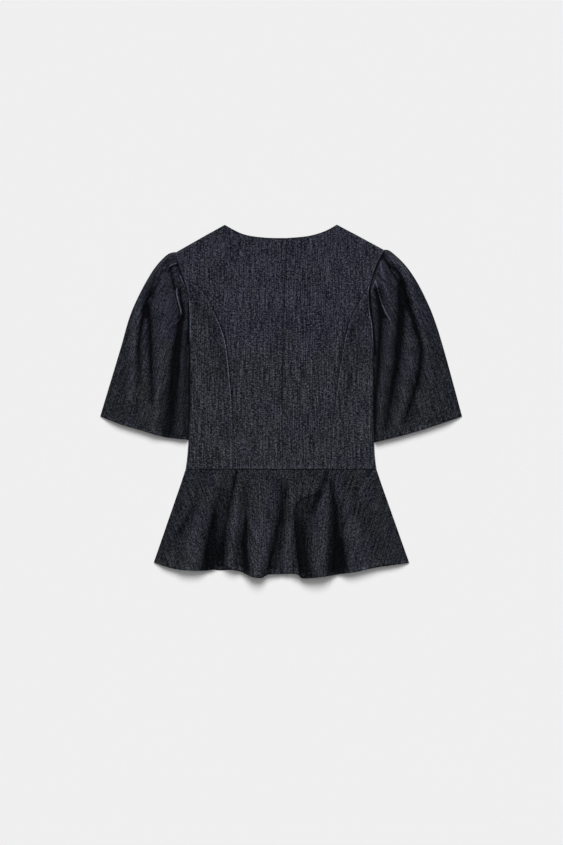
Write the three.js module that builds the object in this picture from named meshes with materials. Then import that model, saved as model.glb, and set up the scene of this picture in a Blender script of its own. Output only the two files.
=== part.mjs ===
import * as THREE from "three";

// A peplum top in dark denim, laid flat with its back up. Millimetres, +Z up, +Y towards the neck,
// the wearer's left on -X. The front lies on the table, the back lies over it, and each sleeve is a
// tube pressed flat. The back of the peplum is cut on a ring, so its spare width stands in waves.

// Cloth and layers
const CLOTH = 1.2; // thickness of the denim
const GAP = 0.3; // between sewn pieces, side by side or one on the other
const LOWER_MID = CLOTH / 2; // middle of the layer on the table
const UPPER_MID = LOWER_MID + CLOTH + GAP; // middle of cloth that lies on that layer
const TURN = (UPPER_MID - LOWER_MID) / 2; // bulge of a fold between the two layers

// Heights of the upper layer above UPPER_MID, and the widths over which it comes down at its edges
const BODY_LOFT = 6.5;
const WAIST_LOFT = 5;
const PEPLUM_LOFT = 8;
const SLEEVE_LOFT = 8.5;
const BODY_ROLL = 2.5;
const SIDE_ROLL = 5;
const SHOULDER_ROLL = 8;
const NECK_SLOPE = 90;
const PEPLUM_ROLL = 38;
const SLEEVE_ROLL = [9, 42]; // at the cap and from two thirds of the way down
const FLOOR_SOFTNESS = 0.7; // how gently a trough settles on the layer below

// Levels and seams of the bodice
const WAIST_Y = -116.6;
const UNDERARM_Y = 84.3;
const CENTRE_BACK = [[1.5, WAIST_Y], [2.3, 40], [5.7, 197], [9.5, 278.9]];
const CREVICE = 1.5; // from the body's side seam to the sleeve's inner fold
const SEAM_FADE = 14; // the folds die out over this length before the waist seam
const CAP_BLEND = 0.08; // share of the sleeve's length that takes it up to the armhole's height

// Outlines in plan, points [x, y]. The armhole runs from the shoulder to the underarm, the princess
// and side seams upwards from the waist, and junction is where along the armhole the princess ends.
const SIDES = {
  left: {
    sign: -1,
    neckPoint: [-96.5, 301.5],
    neckline: [[9.5, 278.9], [-27.6, 279.7], [-64.6, 285.6], [-96.5, 301.5]],
    armhole: [[-180, 254], [-169, 220], [-159, 183], [-156, 145], [-156, 105], [-156, UNDERARM_Y]],
    junction: 0.274,
    princess: [[-83.5, WAIST_Y], [-83, -21], [-87.5, 44.5], [-96.5, 110], [-120, 165], [-138.5, 194]],
    side: [[-162.9, WAIST_Y], [-159.3, -88], [-155.4, -20], [-155.4, 9], [-156, UNDERARM_Y]],
    sleeveOuter: [[-180, 254], [-196, 248], [-222, 217], [-254, 154], [-275, 84], [-308, -26]],
    sleeveHem: [[-308, -26], [-275, -39], [-235, -51], [-199, -61], [-161.5, -66]],
    peplumCorner: [-217.6, -275.5],
  },
  right: {
    sign: 1,
    neckPoint: [95.2, 301.8],
    neckline: [[9.5, 278.9], [46.6, 282.5], [74.5, 290.7], [95.2, 301.8]],
    armhole: [[176, 258], [162, 232], [152, 200], [149, 184], [151, 154], [155, 130], [158, UNDERARM_Y]],
    junction: 0.346,
    princess: [[84.4, WAIST_Y], [88.7, -32], [99.9, 57.6], [109.2, 110], [119.6, 144.2], [138.3, 178.4]],
    side: [[162.5, WAIST_Y], [159.3, -88], [157.7, -32], [157.6, 9], [158, UNDERARM_Y]],
    sleeveOuter: [[176, 258], [188, 254], [216, 226], [243, 181], [269, 115], [308, -26]],
    sleeveHem: [[308, -26], [282, -35], [243, -48], [216, -56], [190, -63], [160, -70]],
    peplumCorner: [218.8, -276.2],
  },
};
const FRONT_NECK_DEPTH = 95; // below the neck points
const BACK_HEM = [
  [-217.6, -275.5], [-178, -286.6], [-130, -289], [-116, -286.5], [-106, -281.5], [-98, -281.5],
  [-88, -284.5], [-79, -288.5], [-70, -290.5], [-62, -294], [-52, -298.5], [-43, -300.5],
  [-33, -300.8], [-22, -296], [0, -295.1], [27, -295.1], [34, -301], [45, -301.8], [75, -298.6],
  [122, -291.9], [154, -285.1], [186, -280.3], [218.8, -276.2],
];
const FRONT_HEM = [
  [-217.6, -275.2], [-165, -284], [-110, -288.6], [-94, -288.8], [-60, -289], [0, -290],
  [110, -288], [165, -281], [218.8, -275.9],
];

// Folds: a soft ridge (rise above 0) or trough (below 0) along way, points [x, y] that run down the
// cloth. west and east are its half widths on either side and rise is its height, each at the first
// and at the last point of the way. A power of 1 is a sharp crest, 2 a bell and 4 a flat top with
// steep flanks.
const LEFT_SLEEVE_FOLDS = [
  {
    name: "outer ridge", west: [6, 6], east: [6, 5], rise: [2, 1.5], power: 2,
    way: [[-232, 205], [-243, 165], [-251, 120], [-253, 80], [-256, 0]],
  },
  {
    name: "outer trough", west: [3, 5], east: [3, 5], rise: [-2.5, -5], power: 1.3,
    way: [[-214, 212], [-222, 192], [-228, 174], [-231, 157]],
  },
  {
    name: "cap trough", west: [2.5, 3], east: [2.5, 3], rise: [-2, -2], power: 1.3,
    way: [[-203, 226], [-209, 206], [-215, 192], [-221, 178]],
  },
  {
    name: "west fork", west: [4, 5], east: [4, 5], rise: [-5, -2.5], power: 1.3,
    way: [[-231, 157], [-237, 138], [-242, 105], [-243, 70], [-242, 30]],
  },
  {
    name: "east fork", west: [4, 5], east: [5, 5], rise: [-5, -3.5], power: 1.3,
    way: [[-231, 157], [-225, 136], [-223, 95], [-222, 60], [-220, 0]],
  },
  {
    name: "fork ridge", west: [4, 4], east: [4, 4], rise: [1.5, 0.5], power: 2,
    way: [[-231, 138], [-234, 100], [-234, 60], [-233, 30]],
  },
  {
    name: "crown ridge", west: [13, 10], east: [13, 12], rise: [2, 2], power: 2,
    way: [[-196, 222], [-202, 150], [-203, 80], [-211, 20], [-218, -60]],
  },
  {
    name: "deep trough", west: [4, 18], east: [4, 17], rise: [-6.5, -3], power: 1.7,
    way: [[-171, 143], [-174, 117], [-178, 85], [-181, 50], [-185, 12], [-193, -55]],
  },
  {
    name: "underarm ridge", west: [3, 4], east: [3, 4], rise: [1.5, 0.8], power: 2,
    way: [[-166, 120], [-169, 80], [-171, 40], [-173, 0], [-175, -30]],
  },
  {
    name: "underarm trough", west: [4, 6], east: [6, 6], rise: [-2.5, -2], power: 2,
    way: [[-160, 115], [-161, 60], [-161.5, 20], [-163, -20], [-165, -58]],
  },
  {
    name: "pleat trough", west: [4, 4], east: [4, 4], rise: [-3, -3], power: 1.5,
    way: [[-189, 226], [-186, 210], [-181, 192]],
  },
  {
    name: "cap hollow", west: [3, 3], east: [3, 3], rise: [-2, -3], power: 1.5,
    way: [[-196, 238], [-193, 230], [-197, 221]],
  },
];
const RIGHT_SLEEVE_FOLDS = [
  {
    name: "outer ridge", west: [6, 5], east: [6, 5], rise: [3, 1], power: 2,
    way: [[188, 243], [204, 229], [222, 185], [243, 112], [247, 70], [251, 15]],
  },
  {
    name: "cap trough", west: [4, 6], east: [3, 3], rise: [-3.5, -4.5], power: 1.3,
    way: [[173, 249], [184, 232], [197, 223], [205, 208], [209, 190], [216, 168]],
  },
  {
    name: "outer trough", west: [3, 7], east: [3, 7], rise: [-5, -2.5], power: 1.3,
    way: [[216, 168], [222, 150], [230, 122], [238, 98], [239, 80], [236, 55], [230, 25], [211, -34]],
  },
  {
    name: "inner trough", west: [7, 8], east: [7, 8], rise: [-6, -2.5], power: 1.5,
    way: [[205, 196], [206, 172], [205, 150], [203, 122], [200, 95], [197, 65], [188, 12], [179, -46]],
  },
  {
    name: "underarm trough", west: [5, 4], east: [6, 4], rise: [-5, -3.5], power: 1.5,
    way: [[165, 190], [168, 168], [169, 145], [169, 115], [167, 85], [164, 40], [161, 0], [160, -55]],
  },
  {
    name: "middle ridge", west: [8, 8], east: [8, 8], rise: [1.5, 1.5], power: 2,
    way: [[217, 140], [222, 100], [219, 60], [213, 28], [199, -35]],
  },
  {
    name: "crown ridge", west: [6, 5], east: [6, 5], rise: [1.5, 1], power: 2,
    way: [[188, 138], [185, 105], [182, 70], [178, 40], [168, -25]],
  },
  {
    name: "pleat ridge", west: [4, 5], east: [4, 5], rise: [2.5, 2], power: 2,
    way: [[167, 241], [172, 225], [177, 203], [182, 180], [190, 155]],
  },
];
const PEPLUM_FOLDS = [
  {
    name: "left swell", west: [12, 16], east: [12, 16], rise: [1.5, 2.5], power: 2,
    way: [[-150, -143], [-178, -215], [-203, -280]],
  },
  {
    name: "left bias trough", west: [7, 8], east: [7, 8], rise: [-1.2, -2], power: 2,
    way: [[-130, -138], [-150, -180], [-168, -215], [-202, -265]],
  },
  {
    name: "left wave", west: [12, 22], east: [10, 33], rise: [2, 8], power: 3,
    way: [[-108, -138], [-124, -178], [-141, -215], [-151, -250], [-158, -295]],
  },
  {
    name: "left hollow", west: [11, 16], east: [13, 17], rise: [-1, -3.6], power: 3,
    way: [[-94, -138], [-97, -169], [-105, -211], [-108, -254], [-112, -292]],
  },
  {
    name: "left deep trough", west: [4, 10], east: [4, 10], rise: [-1, -4], power: 1.6,
    way: [[-99, -132], [-104, -160], [-113, -192], [-122, -248], [-128, -292]],
  },
  {
    name: "narrow trough", west: [3, 5], east: [2, 3], rise: [-2.5, -2], power: 1.3,
    way: [[-76, -121], [-80, -140], [-86, -168], [-92, -200], [-97, -235], [-100, -285]],
  },
  {
    name: "thin ridge", west: [7, 15], east: [6, 11], rise: [2, 6], power: 3,
    way: [[-69, -132], [-77, -180], [-81, -220], [-84, -250], [-88, -288]],
  },
  {
    name: "thin trough", west: [4, 10], east: [4, 8], rise: [-1.5, -5], power: 1.8,
    way: [[-59, -140], [-61, -180], [-62, -215], [-65, -248], [-58, -300]],
  },
  {
    name: "left main ridge", west: [30, 22], east: [33, 21], rise: [2, 12], power: 4,
    way: [[-28, -132], [-31, -165], [-34, -205], [-38, -245], [-42, -310]],
  },
  {
    name: "middle trough", west: [7, 7], east: [7, 7], rise: [-3, -6.5], power: 1.5,
    way: [[1, -136], [0, -165], [-2, -195], [-8, -225], [-13, -250], [-27, -305]],
  },
  {
    name: "flat bottom", west: [14, 14], east: [14, 14], rise: [-1, -4], power: 4,
    way: [[14, -150], [13, -200], [11, -250], [10, -310]],
  },
  {
    name: "beside the lip", west: [6, 7], east: [4, 6], rise: [1.5, 2.5], power: 2,
    way: [[19, -160], [16, -185], [14, -211], [12, -250], [10, -300]],
  },
  {
    name: "lip", west: [1.2, 1.2], east: [10, 25], rise: [-2.5, -7], power: 1.3,
    way: [
      [60, -157], [50, -162.5], [41, -165], [33, -169], [27, -176],
      [24, -187], [23, -203], [24, -222], [27, -262], [33, -310],
    ],
  },
  {
    name: "right main ridge", west: [8, 40], east: [11, 24], rise: [3, 14], power: 3,
    way: [[82, -134], [78, -160], [73, -190], [70, -220], [67, -250], [63, -300]],
  },
  {
    name: "waist trough", west: [5, 6], east: [4, 5], rise: [-3.5, -3], power: 1.5,
    way: [[79, -122], [76, -132], [70, -146], [63, -160], [57, -176], [52, -190]],
  },
  {
    name: "right deep trough", west: [4, 15], east: [5, 12], rise: [-3.5, -6], power: 1.8,
    way: [[85, -138], [88, -162], [92, -185], [94, -212], [96, -245], [98, -300]],
  },
  {
    name: "right wave", west: [8, 22], east: [14, 34], rise: [2, 6], power: 2.5,
    way: [[96, -138], [106, -165], [114, -190], [121, -220], [124, -250], [127, -292]],
  },
  {
    name: "right bias trough", west: [8, 9], east: [8, 9], rise: [-1.6, -1.4], power: 2,
    way: [[119, -142], [125, -170], [145, -205], [172, -248]],
  },
  {
    name: "right swell", west: [12, 14], east: [12, 14], rise: [1, 2], power: 2,
    way: [[142, -138], [183, -220], [212, -285]],
  },
];

// Spans of the grids
const PRINCESS_SPANS = 12;
const CAP_SPANS = 10; // of the armhole above the princess seam
const SCYE_SPANS = 20; // of the armhole below it
const LOW_SCYE_SPANS = 5; // the part of those beside the side seam's top
const SIDE_SPANS = PRINCESS_SPANS - LOW_SCYE_SPANS;
const NECK_SPANS = 5;
const SHOULDER_SPANS = 3;
const LOWER_SPANS = 10; // across a sleeve's lower layer
const SLEEVE_ROWS = 16;
const PEPLUM_SPANS = 84;
const PEPLUM_ROWS = 14;
const OUTLINE_SPANS = 16; // of a long edge of a flat piece
const FOLD_STEPS = 24; // of a fold's way
const NARROWEST = 4; // half width of the narrowest fold that these grids can show
const INNER_FOLD_POINTS = 10; // of a sleeve's inner fold, below the underarm

const denim = (name) =>
  new THREE.MeshStandardMaterial({
    name,
    color: 0x26272f,
    roughness: 0.8,
    metalness: 0,
    side: THREE.FrontSide,
  });

const vector = ([x, y]) => new THREE.Vector2(x, y);
const curve = (points) => new THREE.SplineCurve(points.map(vector));
const clamp = (value) => Math.min(Math.max(value, 0), 1);
const lerp = THREE.MathUtils.lerp;
const smooth = (share) => clamp(share) ** 2 * (3 - 2 * clamp(share));
const roll = (share) => Math.sin((Math.PI / 2) * clamp(share)); // a rounded rise from an edge

// The points of a curve from one share of its length to another.
function along(path, from, to, spans) {
  return Array.from({ length: spans + 1 }, (_, i) => path.getPointAt(lerp(from, to, i / spans)));
}

// Runs of points that follow each other, without the doubled ends.
const join = (...runs) => runs.flatMap((run, i) => (i ? run.slice(1) : run));

// The other coordinate of a run of points where its coordinate `key` has the value given.
function across(points, key, value) {
  const other = key === "x" ? "y" : "x";
  const rising = points[points.length - 1][key] > points[0][key];
  const ordered = rising ? points : [...points].reverse();
  const next = ordered.findIndex((point) => point[key] >= value);
  if (next === -1) return ordered[ordered.length - 1][other];
  if (next === 0) return ordered[0][other];
  const [a, b] = [ordered[next - 1], ordered[next]];
  return lerp(a[other], b[other], (value - a[key]) / (b[key] - a[key]));
}

// A fold's height at (x, y), which dies away with the distance from its way and past both ends.
function foldHeight(fold, x, y) {
  fold.line ??= curve(fold.way).getSpacedPoints(FOLD_STEPS);
  let best = { distance: Infinity };
  for (let i = 0; i < FOLD_STEPS; i += 1) {
    const [a, b] = [fold.line[i], fold.line[i + 1]];
    const length = a.distanceTo(b);
    const [tx, ty] = [(b.x - a.x) / length, (b.y - a.y) / length];
    const run = (x - a.x) * tx + (y - a.y) * ty;
    const beside = (x - a.x) * ty - (y - a.y) * tx;
    const beyond = Math.max(-run, run - length, 0);
    const distance = Math.hypot(beyond, beside);
    const place = (i + clamp(run / length)) / FOLD_STEPS;
    if (distance < best.distance) best = { distance, beside, beyond, place };
  }
  const west = Math.max(lerp(...fold.west, best.place), NARROWEST);
  const east = Math.max(lerp(...fold.east, best.place), NARROWEST);
  const halfWidth = best.beside > 0 ? west : east;
  const away = Math.hypot(best.beside / halfWidth, (2 * best.beyond) / (west + east));
  return lerp(...fold.rise, best.place) * Math.exp(-(away ** fold.power));
}
const foldsAt = (folds, x, y) => folds.reduce((sum, fold) => sum + foldHeight(fold, x, y), 0);

// A height that never falls below the layer underneath.
const settle = (height) => (height + Math.hypot(height, 2 * FLOOR_SOFTNESS)) / 2;

// Each side's curves, made once
for (const side of Object.values(SIDES)) {
  side.armholeCurve = curve(side.armhole);
  const junctionPoint = side.armholeCurve.getPointAt(side.junction);
  side.princessCurve = curve([...side.princess, [junctionPoint.x, junctionPoint.y]]);
  side.sideCurve = curve(side.side);
  side.necklineCurve = curve(side.neckline);
  side.shoulderCurve = curve([side.neckPoint, side.armhole[0]]);
  side.sidePoints = side.sideCurve.getPoints(OUTLINE_SPANS * 2);
  side.topPoints = join(side.necklineCurve.getPoints(OUTLINE_SPANS), side.shoulderCurve.getPoints(1));
}

// The side of the garment that a place in plan lies on, parted by the centre back seam.
const centreBackCurve = curve(CENTRE_BACK);
const centreBackPoints = centreBackCurve.getPoints(OUTLINE_SPANS);
const sideOf = (x, y) => (x < across(centreBackPoints, "y", y) ? SIDES.left : SIDES.right);

// Mid height of the back of the body: lofted, rolled down at the side seams and shoulders, and
// sloping down to the neckline.
function bodyMid(x, y) {
  const side = sideOf(x, y);
  const loft = lerp(WAIST_LOFT, BODY_LOFT, smooth((y - WAIST_Y) / 150));
  const fromSide = side.sign * (across(side.sidePoints, "y", y) - x);
  const sideShare = lerp(roll(fromSide / BODY_ROLL), 1, smooth((y - UNDERARM_Y) / 35));
  const underTop = across(side.topPoints, "x", x) - y;
  const topWidth = lerp(NECK_SLOPE, SHOULDER_ROLL, smooth((Math.abs(x) - 80) / 50));
  return UPPER_MID + loft * sideShare * roll(underTop / topWidth);
}

// Mid height of the back of the peplum: waves that start below the waist seam.
function peplumMid(x, y) {
  const side = sideOf(x, y);
  const [cornerX, cornerY] = side.peplumCorner;
  const waistX = side.side[0][0];
  const edgeX = lerp(waistX, cornerX, (WAIST_Y - y) / (WAIST_Y - cornerY));
  const down = smooth((WAIST_Y - y) / SEAM_FADE);
  const loft = lerp(WAIST_LOFT, PEPLUM_LOFT, smooth((WAIST_Y - y) / 60));
  const width = lerp(BODY_ROLL, PEPLUM_ROLL, smooth((WAIST_Y - y) / 40));
  const edge = roll((side.sign * (edgeX - x)) / width);
  const waves = down * foldsAt(PEPLUM_FOLDS, x, y);
  return UPPER_MID + edge * lerp(loft, settle(loft + waves), down);
}

// Mid height of a sleeve's upper layer, from the armhole (down 0) to the hem (down 1) and from the
// outer fold (share 0) to the inner one (share 1).
function sleeveMid(side, folds, share, down, x, y) {
  const width = side.armholeCurve.getLength();
  const outer = lerp(...SLEEVE_ROLL, smooth(down / 0.7));
  const edge = roll((share * width) / outer) * roll(((1 - share) * width) / SIDE_ROLL);
  const free = UPPER_MID + edge * settle(SLEEVE_LOFT + foldsAt(folds, x, y));
  const seam = side.armholeCurve.getPointAt(share);
  return lerp(bodyMid(seam.x, seam.y), free, smooth(down / CAP_BLEND));
}

// A patch between four edges that share their corners: rows from bottom to top, columns from left to
// right, each row blended from the edges on all sides.
function patch(bottom, top, left, right) {
  const [columns, rows] = [bottom.length - 1, left.length - 1];
  const blend = (i, j, key) => {
    const [u, v] = [j / columns, i / rows];
    const ruled = lerp(bottom[j][key], top[j][key], v) + lerp(left[i][key], right[i][key], u);
    const lowCorners = lerp(bottom[0][key], bottom[columns][key], u);
    const highCorners = lerp(top[0][key], top[columns][key], u);
    return ruled - lerp(lowCorners, highCorners, v);
  };
  return left.map((_, i) => bottom.map((__, j) => new THREE.Vector2(blend(i, j, "x"), blend(i, j, "y"))));
}

// The direction of a line of points in plan, also where it turns straight down.
function planTangent(before, here, after) {
  const run = new THREE.Vector2(after.x - before.x, after.y - before.y);
  if (run.length() < CLOTH / 10) run.set(here.x - before.x, here.y - before.y);
  return run.normalize();
}

// A closed wall of cloth about a grid of middle points. Its open edges are square cut and stand half
// a gap back from the seam line. A tube closes on itself across its columns.
function wall(grid, tube = false) {
  const [rows, columns] = [grid.length, grid[0].length];
  const wrap = (j) => (tube ? (j + columns) % columns : Math.min(Math.max(j, 0), columns - 1));
  const bound = (i) => Math.min(Math.max(i, 0), rows - 1);
  const outer = [];
  const inner = [];
  for (let i = 0; i < rows; i += 1) {
    for (let j = 0; j < columns; j += 1) {
      const here = grid[i][j];
      const [west, east] = [grid[i][wrap(j - 1)], grid[i][wrap(j + 1)]];
      const [south, north] = [grid[bound(i - 1)][j], grid[bound(i + 1)][j]];
      const normal = east.clone().sub(west).cross(north.clone().sub(south)).normalize();
      const middle = here.clone();
      const edges = [];
      if (i === 0 || i === rows - 1) edges.push([planTangent(west, here, east), i === 0 ? north : south]);
      if (!tube && (j === 0 || j === columns - 1)) {
        edges.push([planTangent(south, here, north), j === 0 ? east : west]);
      }
      for (const [tangent, inside] of edges) {
        const square = new THREE.Vector3(-tangent.y, tangent.x, 0);
        if (square.dot(inside.clone().sub(here)) < 0) square.negate();
        normal.addScaledVector(square, -normal.dot(square));
        middle.addScaledVector(square, GAP / 2);
      }
      if (normal.length() < 0.2) normal.set(0, 0, 1);
      normal.normalize();
      outer.push(middle.clone().addScaledVector(normal, CLOTH / 2));
      inner.push(middle.clone().addScaledVector(normal, -CLOTH / 2));
    }
  }
  const faces = [];
  const count = rows * columns;
  const quad = (a, b, c, d) => faces.push([a, b, c], [a, c, d]);
  for (let i = 0; i < rows - 1; i += 1) {
    for (let j = 0; j < (tube ? columns : columns - 1); j += 1) {
      const [a, b] = [i * columns + j, i * columns + wrap(j + 1)];
      const [c, d] = [b + columns, a + columns];
      const shortFirst = outer[a].distanceTo(outer[c]) <= outer[b].distanceTo(outer[d]);
      const [p, q, r, s] = shortFirst ? [a, b, c, d] : [b, c, d, a];
      quad(p, q, r, s);
      quad(count + p, count + s, count + r, count + q);
    }
  }
  const rim = (a, b) => quad(a, count + a, count + b, b);
  for (let j = 0; j < (tube ? columns : columns - 1); j += 1) {
    rim(j, wrap(j + 1));
    rim((rows - 1) * columns + wrap(j + 1), (rows - 1) * columns + j);
  }
  for (let i = 0; i < rows - 1 && !tube; i += 1) {
    rim((i + 1) * columns, i * columns);
    rim(i * columns + columns - 1, (i + 1) * columns + columns - 1);
  }
  const points = [...outer, ...inner];
  const volume = faces.reduce((sum, [a, b, c]) => {
    return sum + points[a].dot(points[b].clone().cross(points[c]));
  }, 0);
  const facing = volume > 0 ? faces : faces.map(([a, b, c]) => [a, c, b]);
  const geometry = new THREE.BufferGeometry().setFromPoints(points);
  geometry.setIndex(facing.flat());
  geometry.computeVertexNormals();
  return geometry;
}

// A flat piece of the lower layer inside an outline, half a gap back from it all round.
function flatPiece(outline) {
  const count = outline.length;
  const clockwise = THREE.ShapeUtils.isClockWise(outline);
  const inset = outline.map((point, i) => {
    const before = point.clone().sub(outline[(i + count - 1) % count]).normalize();
    const after = outline[(i + 1) % count].clone().sub(point).normalize();
    const turn = clockwise ? -1 : 1;
    const inward = new THREE.Vector2(-(before.y + after.y), before.x + after.x).multiplyScalar(turn);
    const miter = inward.normalize().dot(new THREE.Vector2(-before.y, before.x).multiplyScalar(turn));
    return point.clone().addScaledVector(inward, GAP / 2 / Math.max(miter, 0.5));
  });
  return new THREE.ExtrudeGeometry(new THREE.Shape(inset), { depth: CLOTH, bevelEnabled: false });
}

const raise = (plan, height) =>
  plan.map((row) => row.map((p) => new THREE.Vector3(p.x, p.y, height(p.x, p.y))));
const lastPoint = (points) => points[points.length - 1];
const straight = (from, to, spans) => along(curve([[from.x, from.y], [to.x, to.y]]), 0, 1, spans);
const scyeShare = (side, index) => lerp(side.junction, 1, index / SCYE_SPANS);

// A half of the centre back, from its seam to the princess seam and the armhole's top.
function backPanel(side) {
  const princess = along(side.princessCurve, 0, 1, PRINCESS_SPANS);
  const centreSplit = 0.81;
  const centre = join(
    along(centreBackCurve, 0, centreSplit, PRINCESS_SPANS),
    along(centreBackCurve, centreSplit, 1, CAP_SPANS),
  );
  const outerEdge = join(princess, along(side.armholeCurve, side.junction, 0, CAP_SPANS));
  const waist = straight(centre[0], princess[0], NECK_SPANS + SHOULDER_SPANS);
  const top = join(
    along(side.necklineCurve, 0, 1, NECK_SPANS),
    along(side.shoulderCurve, 0, 1, SHOULDER_SPANS),
  );
  return wall(raise(patch(waist, top, centre, outerEdge), bodyMid));
}

// The panel from the princess seam to the side seam and the armhole below the princess.
function sideBackPanel(side) {
  const princess = along(side.princessCurve, 0, 1, PRINCESS_SPANS);
  const lowShare = scyeShare(side, SCYE_SPANS - LOW_SCYE_SPANS);
  const outerEdge = join(
    along(side.sideCurve, 0, 1, SIDE_SPANS),
    along(side.armholeCurve, 1, lowShare, LOW_SCYE_SPANS),
  );
  const top = along(side.armholeCurve, side.junction, lowShare, SCYE_SPANS - LOW_SCYE_SPANS);
  const waist = straight(princess[0], outerEdge[0], SCYE_SPANS - LOW_SCYE_SPANS);
  return wall(raise(patch(waist, top, princess, outerEdge), bodyMid));
}

// The points of a sleeve's hollow tube: the folded upper layer, the inner fold, the flat lower layer
// and the outer fold, ring after ring from the armhole to the hem.
function sleeve(side, folds) {
  const upper = join(
    Array.from({ length: CAP_SPANS + 1 }, (_, i) => (side.junction * i) / CAP_SPANS),
    Array.from({ length: SCYE_SPANS + 1 }, (_, i) => scyeShare(side, i)),
  );
  const lower = Array.from({ length: LOWER_SPANS + 1 }, (_, i) => 1 - i / LOWER_SPANS);
  const outerFold = curve(side.sleeveOuter);
  const innerPoints = Array.from({ length: INNER_FOLD_POINTS }, (_, i) => {
    const y = lerp(UNDERARM_Y, lastPoint(side.sleeveHem)[1], (i + 1) / INNER_FOLD_POINTS);
    return [across(side.sidePoints, "y", y) + side.sign * CREVICE, y];
  });
  const innerFold = curve([lastPoint(side.armhole), ...innerPoints]);
  const hem = curve([...side.sleeveHem.slice(0, -1), lastPoint(innerPoints)]);
  const place = (share, down) => {
    const blend = (key) => {
      const ruled =
        lerp(side.armholeCurve.getPointAt(share)[key], hem.getPointAt(share)[key], down) +
        lerp(outerFold.getPointAt(down)[key], innerFold.getPointAt(down)[key], share);
      const armholeCorners = lerp(outerFold.getPointAt(0)[key], innerFold.getPointAt(0)[key], share);
      const hemCorners = lerp(outerFold.getPointAt(1)[key], innerFold.getPointAt(1)[key], share);
      return ruled - lerp(armholeCorners, hemCorners, down);
    };
    return new THREE.Vector2(blend("x"), blend("y"));
  };
  const turnPoint = (share, inward, down, upperMid) => {
    const edge = place(share, down);
    const bulge = edge.clone().sub(place(inward, down)).normalize().multiplyScalar(TURN);
    return new THREE.Vector3(edge.x + bulge.x, edge.y + bulge.y, (upperMid + LOWER_MID) / 2);
  };
  const rings = Array.from({ length: SLEEVE_ROWS + 1 }, (_, i) => {
    const down = i / SLEEVE_ROWS;
    const top = upper.map((share) => {
      const { x, y } = place(share, down);
      return new THREE.Vector3(x, y, sleeveMid(side, folds, share, down, x, y));
    });
    const bottom = lower.map((share) => {
      const { x, y } = place(share, down);
      return new THREE.Vector3(x, y, LOWER_MID);
    });
    const innerTurn = turnPoint(1, 1 - 1 / LOWER_SPANS, down, lastPoint(top).z);
    const outerTurn = turnPoint(0, 1 / LOWER_SPANS, down, top[0].z);
    return [...top, innerTurn, ...bottom, outerTurn];
  });
  return wall(rings, true);
}

// The back of the peplum, from the waist seam down to its wavy hem.
function peplumBack() {
  const ends = [SIDES.left, SIDES.right].map((side) => vector(side.side[0]));
  const waist = straight(...ends, PEPLUM_SPANS);
  const hem = along(curve(BACK_HEM), 0, 1, PEPLUM_SPANS);
  const leftEdge = straight(waist[0], hem[0], PEPLUM_ROWS);
  const rightEdge = straight(waist[PEPLUM_SPANS], hem[PEPLUM_SPANS], PEPLUM_ROWS);
  return wall(raise(patch(waist, hem, leftEdge, rightEdge), peplumMid));
}

// The front of the body, plain and flat on the table.
function front() {
  const rise = (side) => join(
    along(side.sideCurve, 0, 1, SIDE_SPANS),
    along(side.armholeCurve, 1, 0, LOWER_SPANS),
    along(side.shoulderCurve, 1, 0, SHOULDER_SPANS),
  );
  const [leftNeck, rightNeck] = [SIDES.left.neckPoint, SIDES.right.neckPoint];
  const low = [(leftNeck[0] + rightNeck[0]) / 2, leftNeck[1] - FRONT_NECK_DEPTH];
  const flank = FRONT_NECK_DEPTH * 0.7;
  const neckline = curve([
    leftNeck,
    [leftNeck[0] * 0.72, leftNeck[1] - flank],
    low,
    [rightNeck[0] * 0.72, rightNeck[1] - flank],
    rightNeck,
  ]);
  const outline = join(
    rise(SIDES.left),
    along(neckline, 0, 1, OUTLINE_SPANS),
    rise(SIDES.right).reverse(),
  );
  return flatPiece(outline);
}

// The front of the peplum, plain and flat on the table.
function peplumFront() {
  const waistEnds = [SIDES.right, SIDES.left].map((side) => vector(side.side[0]));
  return flatPiece([...along(curve(FRONT_HEM), 0, 1, OUTLINE_SPANS), ...waistEnds]);
}

const pieces = {
  back_left: backPanel(SIDES.left),
  back_right: backPanel(SIDES.right),
  side_back_left: sideBackPanel(SIDES.left),
  side_back_right: sideBackPanel(SIDES.right),
  sleeve_left: sleeve(SIDES.left, LEFT_SLEEVE_FOLDS),
  sleeve_right: sleeve(SIDES.right, RIGHT_SLEEVE_FOLDS),
  peplum_back: peplumBack(),
  front: front(),
  peplum_front: peplumFront(),
};

const top = new THREE.Group();
for (const [name, geometry] of Object.entries(pieces)) {
  const mesh = new THREE.Mesh(geometry, denim(name));
  mesh.name = name;
  top.add(mesh);
}

// The origin is on the table, under the middle of the garment's length and width.
const extent = new THREE.Box3().setFromObject(top);
const middle = extent.getCenter(new THREE.Vector3());
top.position.set(-middle.x, -middle.y, 0);

export default top;
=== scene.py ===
"""A peplum top in dark denim, laid flat with its back up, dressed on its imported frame.

The shapes are heights over a plan in millimetres, +Y towards the neck, and go into meshes in metres.
"""

from __future__ import annotations

import logging
import math
from collections.abc import Callable, Sequence
from dataclasses import dataclass, field
from enum import Enum

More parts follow.
